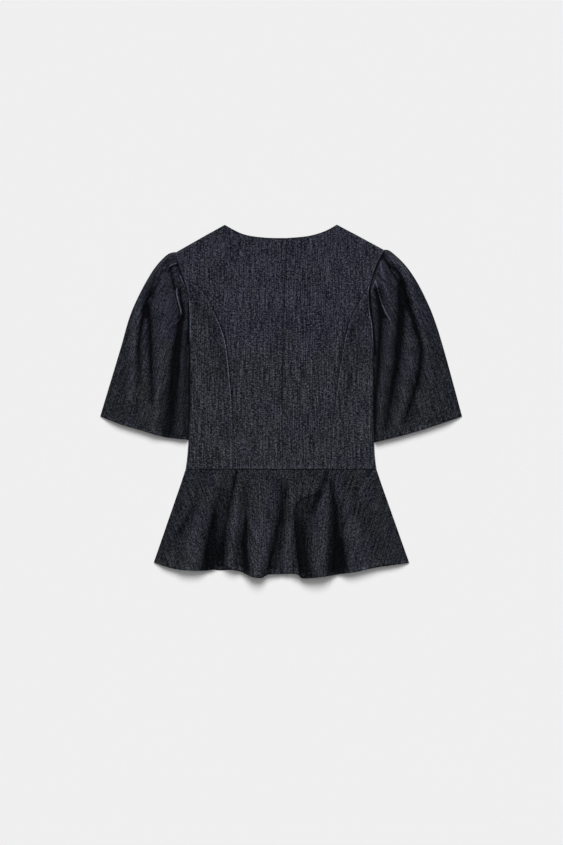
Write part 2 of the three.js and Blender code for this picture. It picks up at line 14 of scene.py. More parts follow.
import bpy
import numpy as np
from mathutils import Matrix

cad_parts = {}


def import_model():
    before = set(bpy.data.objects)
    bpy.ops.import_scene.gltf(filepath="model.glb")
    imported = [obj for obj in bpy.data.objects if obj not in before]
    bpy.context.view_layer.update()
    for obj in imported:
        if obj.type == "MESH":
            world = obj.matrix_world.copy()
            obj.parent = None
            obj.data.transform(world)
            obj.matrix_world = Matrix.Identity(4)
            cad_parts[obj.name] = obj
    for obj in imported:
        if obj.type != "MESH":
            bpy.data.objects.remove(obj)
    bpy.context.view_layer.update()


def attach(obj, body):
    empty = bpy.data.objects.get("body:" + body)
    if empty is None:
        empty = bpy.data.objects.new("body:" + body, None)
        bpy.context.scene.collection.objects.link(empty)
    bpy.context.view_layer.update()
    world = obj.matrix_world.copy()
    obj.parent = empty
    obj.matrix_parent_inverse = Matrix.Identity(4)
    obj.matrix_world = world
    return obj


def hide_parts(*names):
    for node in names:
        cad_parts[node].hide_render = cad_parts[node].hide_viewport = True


log = logging.getLogger("peplum_top")

Array = np.ndarray
Point = tuple[float, float]
Pair = tuple[float, float]
Triple = tuple[float, float, float]
Socket = bpy.types.NodeSocket

MM = 0.001

# The cloth's thickness, the gap between pieces, the mid heights of the layers and a folded edge's radius
CLOTH = 1.2
GAP = 0.3
LOWER_MID = CLOTH / 2
UPPER_MID = LOWER_MID + CLOTH + GAP
TURN = (UPPER_MID - LOWER_MID) / 2

BODY_LOFT = 6.5
WAIST_LOFT = 5.0
PEPLUM_LOFT = 8.0
SLEEVE_LOFT = 8.5
BODY_ROLL = 2.5
SIDE_ROLL = 5.0
PEPLUM_ROLL = 38.0
SHOULDER_ROLL = 8.0
NECK_SLOPE = 90.0
SLEEVE_ROLL = (9.0, 42.0)
FLOOR_SOFTNESS = 0.7

WAIST_Y = -116.6
UNDERARM_Y = 84.3
CENTRE_BACK: tuple[Point, ...] = ((1.5, WAIST_Y), (2.3, 40), (5.7, 197), (9.5, 278.9))
CREVICE = 1.35
SEAM_FADE = 14.0
CAP_BLEND = 0.08
FRONT_NECK_DEPTH = 95.0

# How far each piece's cut is moved in the weave, so that no two pieces share their slubs
CENTRE_SHIFT = 170.0
SIDE_SHIFT = 310.0
FRONT_SHIFT = 900.0
SLEEVE_SHIFT = 1400.0
PEPLUM_SHIFT = 2600.0
PEPLUM_FRONT_SHIFT = 3300.0

BACK_HEM: tuple[Point, ...] = (
    (-217.6, -275.5), (-178, -286.6), (-130, -289), (-116, -286.5), (-106, -281.5), (-98, -281.5),
    (-88, -284.5), (-79, -288.5), (-70, -290.5), (-62, -294), (-52, -298.5), (-43, -300.5), (-33, -300.8),
    (-22, -296), (0, -295.1), (27, -295.1), (34, -301), (45, -301.8), (75, -298.6), (122, -291.9),
    (154, -285.1), (186, -280.3), (218.8, -276.2),
)
FRONT_HEM: tuple[Point, ...] = (
    (-217.6, -275.2), (-165, -284), (-110, -288.6), (-94, -288.8), (-60, -289), (0, -290), (110, -288),
    (165, -281), (218.8, -275.9),
)


def share(value: Array | float, low: float, high: float) -> Array:
    """How far a value is from low to high, held between 0 and 1."""
    return np.clip((np.asarray(value, float) - low) / (high - low), 0.0, 1.0)


def smooth(value: Array | float) -> Array:
    """An even S from 0 to 1: three squares less two cubes."""
    held = np.clip(value, 0.0, 1.0)
    return held * held * (3.0 - 2.0 * held)


def roll(value: Array | float) -> Array:
    """A rounded rise from an edge: a quarter of a sine wave."""
    return np.sin(0.5 * np.pi * np.clip(value, 0.0, 1.0))


def mix(a: Array | float, b: Array | float, part: Array | float) -> Array:
    """A straight blend from a to b."""
    return a + (b - a) * part


def bell(away: Array, half: float) -> Array:
    """A soft bump of 1 in the middle that has sunk to 0.37 at its half width."""
    return np.exp(-((away / half) ** 2))


def settle(height: Array) -> Array:
    """A height that eases to a stop on the layer below: the mean of it and its soft size."""
    return 0.5 * (height + np.hypot(height, 2.0 * FLOOR_SOFTNESS))


class Spline:
    """A smooth curve through points in plan, walked by its length."""

    STEPS = 60

    def __init__(self, points: Sequence[Point]) -> None:
        """Sample the uniform Catmull-Rom cubic through the points and add up its length."""
        given = np.asarray(points, float)
        spans = len(given) - 1
        t = np.linspace(0, spans, spans * self.STEPS + 1)
        i = np.minimum(t.astype(int), spans - 1)
        w = (t - i)[:, None]
        before, start, end, after = (given[np.clip(i + k, 0, spans)] for k in (-1, 0, 1, 2))
        v0, v1 = 0.5 * (end - before), 0.5 * (after - start)
        self.points = (
            (2 * start - 2 * end + v0 + v1) * w**3
            + (3 * end - 3 * start - 2 * v0 - v1) * w**2
            + v0 * w
            + start
        )
        steps = np.linalg.norm(np.diff(self.points, axis=0), axis=1)
        self.walked = np.concatenate([[0.0], np.cumsum(steps)])

    @property
    def length(self) -> float:
        """The curve's whole length."""
        return float(self.walked[-1])

    def at(self, part: Array | float) -> Array:
        """The points at the given shares of the length."""
        where = np.asarray(part, float) * self.length
        x, y = (np.interp(where, self.walked, self.points[:, k]) for k in (0, 1))
        return np.stack([x, y], axis=-1)

    def run(self, start: float, end: float, spans: int) -> Array:
        """Evenly spaced points from one share of the length to another."""
        return self.at(np.linspace(start, end, spans + 1))

    def x_at(self, y: Array) -> Array:
        """The x of a curve that climbs steadily, at heights y of the plan."""
        return np.interp(y, self.points[:, 1], self.points[:, 0])


def walk(line: Array, x: Array, y: Array) -> tuple[Array, Array, Array]:
    """The nearest place on a line of points.

    Args:
        line: points of the line, [x, y] a row.
        x: places in plan.
        y: places in plan.

    Returns:
        The share of the line, the signed distance beside it, above 0 on its west where it runs down
        the cloth, and the distance past its ends.
    """
    steps = len(line) - 1
    nearest = np.full(x.shape, np.inf)
    place, beside, beyond = (np.zeros(x.shape) for _ in range(3))
    for i in range(steps):
        (ax, ay), (bx, by) = line[i], line[i + 1]
        length = math.hypot(bx - ax, by - ay)
        tx, ty = (bx - ax) / length, (by - ay) / length
        along = (x - ax) * tx + (y - ay) * ty
        off = (x - ax) * ty - (y - ay) * tx
        past = np.maximum(np.maximum(-along, along - length), 0.0)
        distance = np.hypot(past, off)
        closer = distance < nearest
        nearest = np.where(closer, distance, nearest)
        place = np.where(closer, (i + np.clip(along / length, 0, 1)) / steps, place)
        beside = np.where(closer, off, beside)
        beyond = np.where(closer, past, beyond)
    return place, beside, beyond


@dataclass(frozen=True)
class Fold:
    """A soft ridge, or a trough where rise is negative, along a way that runs down the cloth.

    west and east are its half widths on either side and rise is its height, each at the first and at
    the last point of the way. A power of 1 gives a sharp crest, 2 a bell and 4 a flat top with steep
    flanks. shade is how strongly the fold is painted into the colour: painted shade in a trough and a
    painted highlight on a ridge, partly rubbing of the denim.
    """

    name: str
    way: tuple[Point, ...]
    west: Pair
    east: Pair
    rise: Pair
    power: float = 2.0
    shade: float = 1.0

    STEPS = 24

    def height(self, x: Array, y: Array) -> Array:
        """The fold's height at (x, y), which dies away with the distance from the way and its ends."""
        place, beside, beyond = walk(Spline(self.way).run(0.0, 1.0, self.STEPS), x, y)
        west, east, rise = (mix(pair[0], pair[1], place) for pair in (self.west, self.east, self.rise))
        away = np.hypot(beside / np.where(beside > 0, west, east), 2.0 * beyond / (west + east))
        return rise * np.exp(-(away**self.power))


def folds_at(folds: Sequence[Fold], x: Array, y: Array) -> Array:
    """The heights of all the folds together."""
    return sum((fold.height(x, y) for fold in folds), np.zeros(x.shape))


@dataclass(frozen=True)
class FoldWearAndPaintedLight:
    """Light and shade painted on folds, together with rubbing of the denim: from -1 in a trough, painted
    dark as shade, to 1 on a ridge, painted pale as a highlight that stands partly for rubbing.

    base is the value of the flat cloth, rub_and_highlight that of a ridge as high as high, and deep the
    depth of a trough that is fully dark.
    """

    base: float
    rub_and_highlight: float
    high: float
    deep: float

    def at(self, folds: Sequence[Fold], x: Array, y: Array) -> Array:
        """The painted shade and painted highlight, partly rubbing, at places in plan."""
        heights = [fold.height(x, y) * fold.shade for fold in folds]
        hollow = sum((-np.minimum(height, 0.0) for height in heights), np.zeros(x.shape))
        crest = sum((np.maximum(height, 0.0) for height in heights), np.zeros(x.shape))
        return self.base + self.rub_and_highlight * np.clip(crest / self.high, 0.0, 1.0) - smooth(hollow / self.deep)


@dataclass(frozen=True)
class LineWearAndPaintedLight:
    """A line along a seam or an edge, painted lighter where its value is above 0 and darker where it is
    below.
    """

    wear_and_painted_light: float
    half: float
    beside: float = 0.0

    def at(self, away: Array) -> Array:
        """The line's value at distances from the seam or edge."""
        return self.wear_and_painted_light * bell(away - self.beside, self.half)


# Painted shade in troughs and beside pleats, painted highlights on ridges and pleat edges, partly rubbing;
# a base below 0 paints the whole sleeve and peplum darker
SLEEVE_WEAR_AND_PAINTED_LIGHT = FoldWearAndPaintedLight(base=-0.28, rub_and_highlight=0.5, high=3.0, deep=5.5)
PEPLUM_WEAR_AND_PAINTED_LIGHT = FoldWearAndPaintedLight(base=-0.30, rub_and_highlight=0.5, high=10.0, deep=5.8)
CREASE_WEAR_AND_PAINTED_LIGHT = FoldWearAndPaintedLight(base=0.0, rub_and_highlight=2.2, high=1.6, deep=3.4)
# Painted shade in the seam grooves, along the stitches, under the waist seam's edge and on the cloth's
# edges where it rolls down; painted highlights, partly rubbing, on the raised allowances and edges
CENTRE_SEAM_PAINTED_SHADE = LineWearAndPaintedLight(-0.45, 1.2)
PRINCESS_RUB_AND_HIGHLIGHT = LineWearAndPaintedLight(1.3, 1.0, -2.2)
PRINCESS_PAINTED_SHADE = LineWearAndPaintedLight(-0.8, 1.2)
PRINCESS_SOFT_PAINTED_SHADE = LineWearAndPaintedLight(-0.30, 12.0, -16.0)
BODY_EDGE_RUB_AND_HIGHLIGHT = LineWearAndPaintedLight(1.2, 1.8)
NECK_EDGE_PAINTED_SHADE = LineWearAndPaintedLight(-0.7, 1.2)
WAIST_RUB_AND_HIGHLIGHT = LineWearAndPaintedLight(0.85, 1.8, 3.0)
WAIST_PAINTED_SHADOW = LineWearAndPaintedLight(-1.0, 1.3)
PEPLUM_EDGE_PAINTED_SHADE = LineWearAndPaintedLight(-0.6, 1.4)
HEM_STITCHES_PAINTED_SHADE = LineWearAndPaintedLight(-0.25, 1.3)
HEM_EDGE_PAINTED_SHADE = LineWearAndPaintedLight(-0.7, 1.2)
# Painted shade along the sleeves' folded edges
TURNED_EDGE_PAINTED_SHADE = -0.5


@dataclass
class Side:
    """The outlines of one side of the garment in plan."""

    sign: int
    neck_point: Point
    neckline: tuple[Point, ...]
    armhole: tuple[Point, ...]
    junction: float
    princess: tuple[Point, ...]
    side: tuple[Point, ...]
    sleeve_outer: tuple[Point, ...]
    sleeve_hem: tuple[Point, ...]
    peplum_corner: Point
    curves: dict[str, Spline] = field(default_factory=dict)

    def __post_init__(self) -> None:
        """Make the curves of the seams and edges."""
        armhole = Spline(self.armhole)
        join = tuple(armhole.at(self.junction))
        side = Spline(self.side)
        hem_y = self.sleeve_hem[-1][1]
        fold_y = mix(UNDERARM_Y, hem_y, np.linspace(0.1, 1.0, 10))
        inner = [(float(side.x_at(y)) + self.sign * CREVICE, float(y)) for y in fold_y]
        self.curves = {
            "armhole": armhole,
            "princess": Spline((*self.princess, join)),
            "side": side,
            "neckline": Spline(self.neckline),
            "shoulder": Spline((self.neck_point, self.armhole[0])),
            "outer": Spline(self.sleeve_outer),
            "hem": Spline((*self.sleeve_hem[:-1], inner[-1])),
            "inner": Spline((self.armhole[-1], *inner)),
        }

    def top_y(self, x: Array) -> Array:
        """The y of the neckline and the shoulder seam at x."""
        line = np.vstack([self.curves["neckline"].points, [self.armhole[0]]])
        order = np.argsort(line[:, 0])
        return np.interp(x, line[order, 0], line[order, 1])


LEFT = Side(
    sign=-1,
    neck_point=(-96.5, 301.5),
    neckline=((9.5, 278.9), (-27.6, 279.7), (-64.6, 285.6), (-96.5, 301.5)),
    armhole=((-180, 254), (-169, 220), (-159, 183), (-156, 145), (-156, 105), (-156, UNDERARM_Y)),
    junction=0.274,
    princess=((-83.5, WAIST_Y), (-83, -21), (-87.5, 44.5), (-96.5, 110), (-120, 165), (-138.5, 194)),
    side=((-162.9, WAIST_Y), (-159.3, -88), (-155.4, -20), (-155.4, 9), (-156, UNDERARM_Y)),
    sleeve_outer=((-180, 254), (-196, 248), (-222, 217), (-254, 154), (-275, 84), (-308, -26)),
    sleeve_hem=((-308, -26), (-275, -39), (-235, -51), (-199, -61), (-161.5, -66)),
    peplum_corner=(-217.6, -275.5),
)
RIGHT = Side(
    sign=1,
    neck_point=(95.2, 301.8),
    neckline=((9.5, 278.9), (46.6, 282.5), (74.5, 290.7), (95.2, 301.8)),
    armhole=((176, 258), (162, 232), (152, 200), (149, 184), (151, 154), (155, 130), (158, UNDERARM_Y)),
    junction=0.346,
    princess=((84.4, WAIST_Y), (88.7, -32), (99.9, 57.6), (109.2, 110), (119.6, 144.2), (138.3, 178.4)),
    side=((162.5, WAIST_Y), (159.3, -88), (157.7, -32), (157.6, 9), (158, UNDERARM_Y)),
    sleeve_outer=((176, 258), (188, 254), (216, 226), (243, 181), (269, 115), (308, -26)),
    sleeve_hem=((308, -26), (282, -35), (243, -48), (216, -56), (190, -63), (160, -70)),
    peplum_corner=(218.8, -276.2),
)
CENTRE = Spline(CENTRE_BACK)

LEFT_SLEEVE_FOLDS = (
    Fold("outer ridge", ((-232, 205), (-243, 165), (-251, 120), (-253, 80), (-256, 0)),
         (6, 6), (6, 5), (2, 1.5), shade=1.8),
    Fold("outer trough", ((-214, 212), (-222, 192), (-228, 174), (-231, 157)),
         (3, 5), (3, 5), (-2.5, -5), 1.3),
    Fold("cap trough", ((-203, 226), (-209, 206), (-215, 192), (-221, 178)),
         (2.5, 3), (2.5, 3), (-2, -2), 1.3, shade=1.6),
    Fold("west fork", ((-231, 157), (-237, 138), (-242, 105), (-243, 70), (-242, 30)),
         (4, 5), (4, 5), (-5, -2.5), 1.3),
    Fold("east fork", ((-231, 157), (-225, 136), (-223, 95), (-222, 60), (-220, 0)),
         (4, 5), (5, 5), (-5, -3.5), 1.3),
    Fold("fork ridge", ((-231, 138), (-234, 100), (-234, 60), (-233, 30)), (4, 4), (4, 4), (1.5, 0.5)),
    Fold("crown ridge", ((-196, 222), (-202, 150), (-203, 80), (-211, 20), (-218, -60)),
         (13, 10), (13, 12), (2, 2)),
    Fold("deep trough", ((-171, 143), (-174, 117), (-178, 85), (-181, 50), (-185, 12), (-193, -55)),
         (4, 18), (4, 17), (-6.5, -3), 1.7, shade=1.1),
    Fold("underarm ridge", ((-166, 120), (-169, 80), (-171, 40), (-173, 0), (-175, -30)),
         (3, 4), (3, 4), (1.5, 0.8), shade=0.5),
    Fold("underarm trough", ((-160, 115), (-161, 60), (-161.5, 20), (-163, -20), (-165, -58)),
         (4, 6), (6, 6), (-2.5, -2)),
    Fold("pleat trough", ((-189, 226), (-186, 210), (-181, 192)),
         (4, 4), (4, 4), (-3, -3), 1.5, shade=1.4),
    Fold("cap hollow", ((-196, 238), (-193, 230), (-197, 221)), (3, 3), (3, 3), (-2, -3), 1.5),
)
LEFT_SLEEVE_CREASES = (
    Fold("pleat edge", ((-177.7, 192.5), (-178.2, 183), (-174.8, 168), (-171, 152.7), (-172.9, 141.4),
          (-181, 132.5)), (0.8, 0.7), (0.8, 0.7), (1.5, 1.2)),
    Fold("west of the pleat", ((-180.2, 184), (-177, 167), (-173.3, 152), (-175, 143)),
         (1.2, 1.2), (1.2, 1.2), (-1.3, -1.3), shade=2),
    Fold("behind the pleat", ((-174.5, 190), (-172, 170), (-167.5, 150), (-169, 140)),
         (1.5, 1.5), (5, 4), (-2.2, -2.5), 1.5, shade=1.5),
    Fold("second pleat", ((-178, 235.5), (-184.2, 234), (-190.8, 229.4), (-195, 222.5)),
         (0.8, 0.7), (0.8, 0.7), (1.4, 1.2)),
    Fold("under the second pleat", ((-177.5, 232), (-183.5, 230.5), (-189, 226), (-192.5, 220)),
         (1.5, 1.5), (1.5, 1.5), (-1.8, -1.5), 1.5, shade=2),
    Fold("seam edge", ((-172.4, 214), (-168.2, 204), (-164.3, 196.3), (-160.9, 183), (-159.2, 168)),
         (0.8, 0.7), (0.8, 0.7), (1.2, 0.8)),
    Fold("armhole", ((-178, 238), (-170.5, 215.2), (-164, 198.1), (-158.8, 175.4), (-157.6, 152.7),
          (-158.2, 98)), (1.6, 1.6), (1.6, 1.6), (-1.8, -3), 1.5, shade=1.5),
)
RIGHT_SLEEVE_FOLDS = (
    Fold("outer ridge", ((188, 243), (204, 229), (222, 185), (243, 112), (247, 70), (251, 15)),
         (6, 5), (6, 5), (3, 1)),
    Fold("cap trough", ((173, 249), (184, 232), (197, 223), (205, 208), (209, 190), (216, 168)),
         (4, 6), (3, 3), (-3.5, -4.5), 1.3),
    Fold("outer trough", ((216, 168), (222, 150), (230, 122), (238, 98), (239, 80), (236, 55), (230, 25),
          (211, -34)), (3, 7), (3, 7), (-5, -2.5), 1.3, shade=1.3),
    Fold("inner trough", ((205, 196), (206, 172), (205, 150), (203, 122), (200, 95), (197, 65), (188, 12),
          (179, -46)), (7, 8), (7, 8), (-6, -2.5), 1.5, shade=1.2),
    Fold("underarm trough", ((165, 190), (168, 168), (169, 145), (169, 115), (167, 85), (164, 40),
          (161, 0), (160, -55)), (5, 4), (6, 4), (-5, -3.5), 1.5),
    Fold("middle ridge", ((217, 140), (222, 100), (219, 60), (213, 28), (199, -35)),
         (8, 8), (8, 8), (1.5, 1.5)),
    Fold("crown ridge", ((188, 138), (185, 105), (182, 70), (178, 40), (168, -25)),
         (6, 5), (6, 5), (1.5, 1)),
    Fold("pleat ridge", ((167, 241), (172, 225), (177, 203), (182, 180), (190, 155)),
         (4, 5), (4, 5), (2.5, 2)),
)
RIGHT_SLEEVE_CREASES = (
    Fold("pleat edge", ((161, 204), (165.7, 188.7), (169.5, 175.4), (174.1, 160.3), (180.8, 147),
          (186, 139)), (0.8, 0.7), (0.8, 0.7), (1.5, 1.2)),
    Fold("behind the pleat", ((162.5, 190), (167, 171), (172, 156), (179, 144)),
         (4, 5), (1.3, 1.3), (-2.2, -2.2), 1.5, shade=1.5),
    Fold("ridge from the cap", ((169.4, 234), (171.5, 218), (174.1, 202), (180.8, 183)),
         (2.6, 3.4), (2.6, 3.4), (0.8, 0.5), shade=0.7),
    Fold("second pleat", ((183, 229), (190, 218), (199, 205)),
         (2, 2), (2, 2), (-1.6, -1.6), 1.3, shade=1.5),
    Fold("seam ridge", ((162, 208), (157, 196), (153, 184)), (0.8, 0.7), (0.8, 0.7), (1.2, 0.9)),
    Fold("armhole", ((175, 254), (167, 238), (160.5, 224.7), (152, 202), (151, 183), (153.8, 145),
          (158, 110), (160, 80)), (1.8, 1.8), (1.8, 1.8), (-2.4, -3.5), 1.5, shade=2),
)
PEPLUM_FOLDS = (
    Fold("left swell", ((-150, -143), (-178, -215), (-203, -280)), (12, 16), (12, 16), (1.5, 2.5)),
    Fold("left bias trough", ((-130, -138), (-150, -180), (-168, -215), (-202, -265)),
         (7, 8), (7, 8), (-1.2, -2)),
    Fold("left wave", ((-108, -138), (-124, -178), (-141, -215), (-151, -250), (-158, -295)),
         (12, 22), (10, 33), (2, 8), 3),
    Fold("left hollow", ((-94, -138), (-97, -169), (-105, -211), (-108, -254), (-112, -292)),
         (11, 16), (13, 17), (-1.0, -3.6), 3),
    Fold("left deep trough", ((-99, -132), (-104, -160), (-113, -192), (-122, -248), (-128, -292)),
         (4, 10), (4, 10), (-1.0, -4.0), 1.6),
    Fold("narrow trough", ((-76, -121), (-80, -140), (-86, -168), (-92, -200), (-97, -235), (-100, -285)),
         (3, 5), (2, 3), (-2.5, -2), 1.3),
    Fold("thin ridge", ((-69, -132), (-77, -180), (-81, -220), (-84, -250), (-88, -288)),
         (7, 15), (6, 11), (2, 6), 3),
    Fold("thin trough", ((-59, -140), (-61, -180), (-62, -215), (-65, -248), (-58, -300)),
         (4, 10), (4, 8), (-1.5, -5.0), 1.8),
    Fold("left main ridge", ((-28, -132), (-31, -165), (-34, -205), (-38, -245), (-42, -310)),
         (30, 22), (33, 21), (2, 12), 4),
    Fold("middle trough", ((1, -136), (0, -165), (-2, -195), (-8, -225), (-13, -250), (-27, -305)),
         (7, 7), (7, 7), (-3.0, -6.5), 1.5, shade=0.85),
    Fold("flat bottom", ((14, -150), (13, -200), (11, -250), (10, -310)),
         (14, 14), (14, 14), (-1, -4), 4, shade=0.1),
    Fold("beside the lip", ((19, -160), (16, -185), (14, -211), (12, -250), (10, -300)),
         (6, 7), (4, 6), (1.5, 2.5), shade=3),
    Fold("lip", ((60, -157), (50, -162.5), (41, -165), (33, -169), (27, -176), (24, -187), (23, -203),
          (24, -222), (27, -262), (33, -310)), (1.2, 1.2), (10, 25), (-2.5, -7), 1.3, shade=0.8),
    Fold("right main ridge", ((82, -134), (78, -160), (73, -190), (70, -220), (67, -250), (63, -300)),
         (8, 40), (11, 24), (3, 14), 3, shade=0.6),
    Fold("waist trough", ((79, -122), (76, -132), (70, -146), (63, -160), (57, -176), (52, -190)),
         (5, 6), (4, 5), (-3.5, -3), 1.5),
    Fold("right deep trough", ((85, -138), (88, -162), (92, -185), (94, -212), (96, -245), (98, -300)),
         (4, 15), (5, 12), (-3.5, -6), 1.8),
    Fold("right wave", ((96, -138), (106, -165), (114, -190), (121, -220), (124, -250), (127, -292)),
         (8, 22), (14, 34), (2, 6), 2.5),
    Fold("right bias trough", ((119, -142), (125, -170), (145, -205), (172, -248)),
         (8, 9), (8, 9), (-1.6, -1.4)),
    Fold("right swell", ((142, -138), (183, -220), (212, -285)), (12, 14), (12, 14), (1, 2)),
)
PEPLUM_CREASES = (
    Fold("side crease", ((-160, -118), (-148, -127)), (2, 2), (2, 2), (-1.2, -1.0), 1.5),
)

# Painted shade on the flanks of the peplum's folds and painted highlights on a few crests: written as
# folds, which change no height here
PEPLUM_PAINTED_SHADING = (
    Fold("crease at the waist", ((-76, -119), (-78, -132), (-81, -150)), (3, 3), (2, 2), (-3.4, -2), 1.5),
    Fold("left bias", ((-150, -180), (-160, -200), (-176, -226)), (6, 8), (6, 8), (-1.4, -1.6)),
    Fold("left deep west", ((-116, -195), (-126, -235), (-131, -290)), (6, 8), (5, 5), (-1.5, -2.5)),
    Fold("thin crest", ((-77, -160), (-80, -212), (-84, -254), (-88, -288)), (3, 4), (3, 4), (6, 12)),
    Fold("thin trough east", ((-59, -200), (-59, -235), (-57, -290)), (4, 5), (4, 5), (-2, -3)),
    Fold("middle trough east", ((8, -150), (8, -172), (4, -205), (0, -245), (-12, -285)),
         (6, 5), (6, 5), (-1.8, -1.5)),
    Fold("left of the lip", ((19, -160), (16, -185), (14, -211), (12, -250), (9, -290)),
         (4, 4), (4, 4), (5, 9)),
    Fold("lip wedge", ((42, -174), (39, -200), (40, -230), (44, -265), (48, -300)),
         (9, 8), (9, 9), (-1.2, -2.5)),
    Fold("lip top", ((42, -169), (34, -173), (28, -184)), (5, 5), (5, 5), (4, 2.5)),
    Fold("waist trough east", ((69, -156), (65, -172)), (3, 3), (3, 3), (-2.0, -1.5)),
    Fold("right deep west", ((84, -190), (83, -230), (82, -260), (83, -300)), (5, 7), (5, 8), (-1, -2.2)),
    Fold("right deep east", ((104, -240), (108, -270), (112, -300)), (5, 6), (5, 6), (-2, -2.5)),
)


def by_side(x: Array, y: Array, value: Callable[[Side], Array]) -> Array:
    """A side's value at each place, the sides parted by the centre back seam."""
    return np.where(x < CENTRE.x_at(y), value(LEFT), value(RIGHT))


def body_mid(x: Array, y: Array) -> Array:
    """Mid height of the back of the body.

    Loft over the front, rolled down at the side seams and shoulders, sloping down to the neckline.
    """
    loft = mix(WAIST_LOFT, BODY_LOFT, smooth(share(y, WAIST_Y, WAIST_Y + 150)))
    from_side = by_side(x, y, lambda s: s.sign * (s.curves["side"].x_at(y) - x))
    side_share = mix(roll(from_side / BODY_ROLL), 1.0, smooth(share(y, UNDERARM_Y, UNDERARM_Y + 35)))
    under_top = by_side(x, y, lambda s: s.top_y(x)) - y
    width = mix(NECK_SLOPE, SHOULDER_ROLL, smooth(share(np.abs(x), 80, 130)))
    return UPPER_MID + loft * side_share * roll(under_top / width)


def peplum_edge_x(side: Side, y: Array) -> Array:
    """The x of the peplum's straight side edge."""
    corner_x, corner_y = side.peplum_corner
    return mix(side.side[0][0], corner_x, (WAIST_Y - y) / (WAIST_Y - corner_y))


def peplum_mid(x: Array, y: Array) -> Array:
    """Mid height of the back of the peplum: waves that start below the waist seam."""
    down = smooth((WAIST_Y - y) / SEAM_FADE)
    loft = mix(WAIST_LOFT, PEPLUM_LOFT, smooth((WAIST_Y - y) / 60))
    width = mix(BODY_ROLL, PEPLUM_ROLL, smooth((WAIST_Y - y) / 40))
    edge = roll(by_side(x, y, lambda s: s.sign * (peplum_edge_x(s, y) - x)) / width)
    waves = down * folds_at(PEPLUM_FOLDS, x, y)
    return UPPER_MID + edge * mix(loft, settle(loft + waves), down)


def sleeve_mid(side: Side, folds: Sequence[Fold], across: Array, down: Array, plan: Array) -> Array:
    """Mid height of a sleeve's upper layer.

    Args:
        side: the side of the garment.
        folds: the sleeve's folds.
        across: share from the outer fold (0) to the inner one (1).
        down: share from the armhole (0) to the hem (1).
        plan: the places in plan, with x and y last.

    Returns:
        Heights that blend from the body's at the armhole to the sleeve's own.
    """
    x, y = plan[..., 0], plan[..., 1]
    armhole = side.curves["armhole"]
    outer = mix(*SLEEVE_ROLL, smooth(down / 0.7))
    edge = roll(across * armhole.length / outer) * roll((1 - across) * armhole.length / SIDE_ROLL)
    free = UPPER_MID + edge * settle(SLEEVE_LOFT + folds_at(folds, x, y))
    seam = armhole.at(across)
    return mix(body_mid(seam[..., 0], seam[..., 1]), free, smooth(down / CAP_BLEND))


def patch(bottom: Array, top: Array, left: Array, right: Array) -> Array:
    """A grid of places between four edges that share their corners, blended from all of them."""
    u = np.linspace(0, 1, len(bottom))[None, :, None]
    v = np.linspace(0, 1, len(left))[:, None, None]
    ruled = mix(bottom[None], top[None], v) + mix(left[:, None], right[:, None], u)
    return ruled - mix(mix(bottom[0], bottom[-1], u), mix(top[0], top[-1], u), v)


def sleeve_plan(side: Side, across: Array, down: Array) -> Array:
    """The places of a sleeve in plan, blended from its armhole, hem and two folds."""
    c = side.curves
    u, v = across[..., None], down[..., None]
    ruled = mix(c["armhole"].at(across), c["hem"].at(across), v)
    ruled = ruled + mix(c["outer"].at(down), c["inner"].at(down), u)
    first = mix(c["outer"].at(0.0), c["inner"].at(0.0), u)
    last = mix(c["outer"].at(1.0), c["inner"].at(1.0), u)
    return ruled - mix(first, last, v)


class Slot(Enum):
    """The record's material slots."""

    DENIM = "denim"


@dataclass(frozen=True)
class Relief:
    """Small forms that sewing leaves on the cloth, in millimetres."""

    groove: float = 0.16
    groove_half: float = 0.8
    allowance: float = 10.0
    allowance_rise: float = 0.45
    hem: float = 14.0
    hem_rise: float = 0.45
    stitches: float = 12.0
    waist_rise: float = 0.6
    waist_sunk: float = 0.3
    body_uneven: float = 0.35
    uneven: float = 0.3

    def seam(self, away: Array) -> Array:
        """A seam: a narrow groove on the line and the pressed allowances as a step beyond it.

        Args:
            away: distance from the seam line, above 0 on the side that the allowances lie on.

        Returns:
            The height that the seam adds.
        """
        groove = -self.groove * bell(away, self.groove_half)
        step = smooth(share(away, 0.3, 2.0)) * (1 - smooth(share(away, self.allowance - 3, self.allowance)))
        return groove + self.allowance_rise * step

    def hemmed(self, above: Array) -> Array:
        """A turned hem: two layers up to its row of stitches, which draw the cloth in a little."""
        double = 1 - smooth(share(above, self.hem - 1.0, self.hem + 2.0))
        return self.hem_rise * double - 0.6 * self.groove * bell(above - self.stitches, 1.1)

    def hem_wear_and_shade(self, above: Array, x: Array, y: Array) -> Array:
        """A turned hem's colour: roped and rubbed lighter along its edge, with painted shade along its
        stitches and on its very edge.
        """
        roped = smooth(1 - above / self.hem) * (0.15 + 0.6 * hand(x, y, seed=3.3, size=9.0))
        return roped + HEM_STITCHES_PAINTED_SHADE.at(above - self.stitches) + HEM_EDGE_PAINTED_SHADE.at(above)


RELIEF = Relief()
SEAM_INSET = 0.04
GOLDEN_ANGLE = 2.399
NOISE_RANGE = (0.3, 0.7)

# Relief dies away towards an edge, where the cloth is less than this above its lowest
BODY_EDGE_FADE = 2.5
EDGE_FADE = 3.0


def hand(x: Array, y: Array, seed: float, size: float) -> Array:
    """The cloth's slight unevenness: five waves in turned directions, between about -1 and 1."""
    total = np.zeros(np.shape(x))
    for k in range(5):
        turn = seed + GOLDEN_ANGLE * k
        length = size * (1.0 + 0.37 * k) / 1.6
        phase = (x * math.cos(turn) + y * math.sin(turn)) * 2 * math.pi / length
        total = total + np.sin(phase + 1.7 * np.sin(phase * 0.41 + k) + seed * (k + 1))
    return total / 3.2


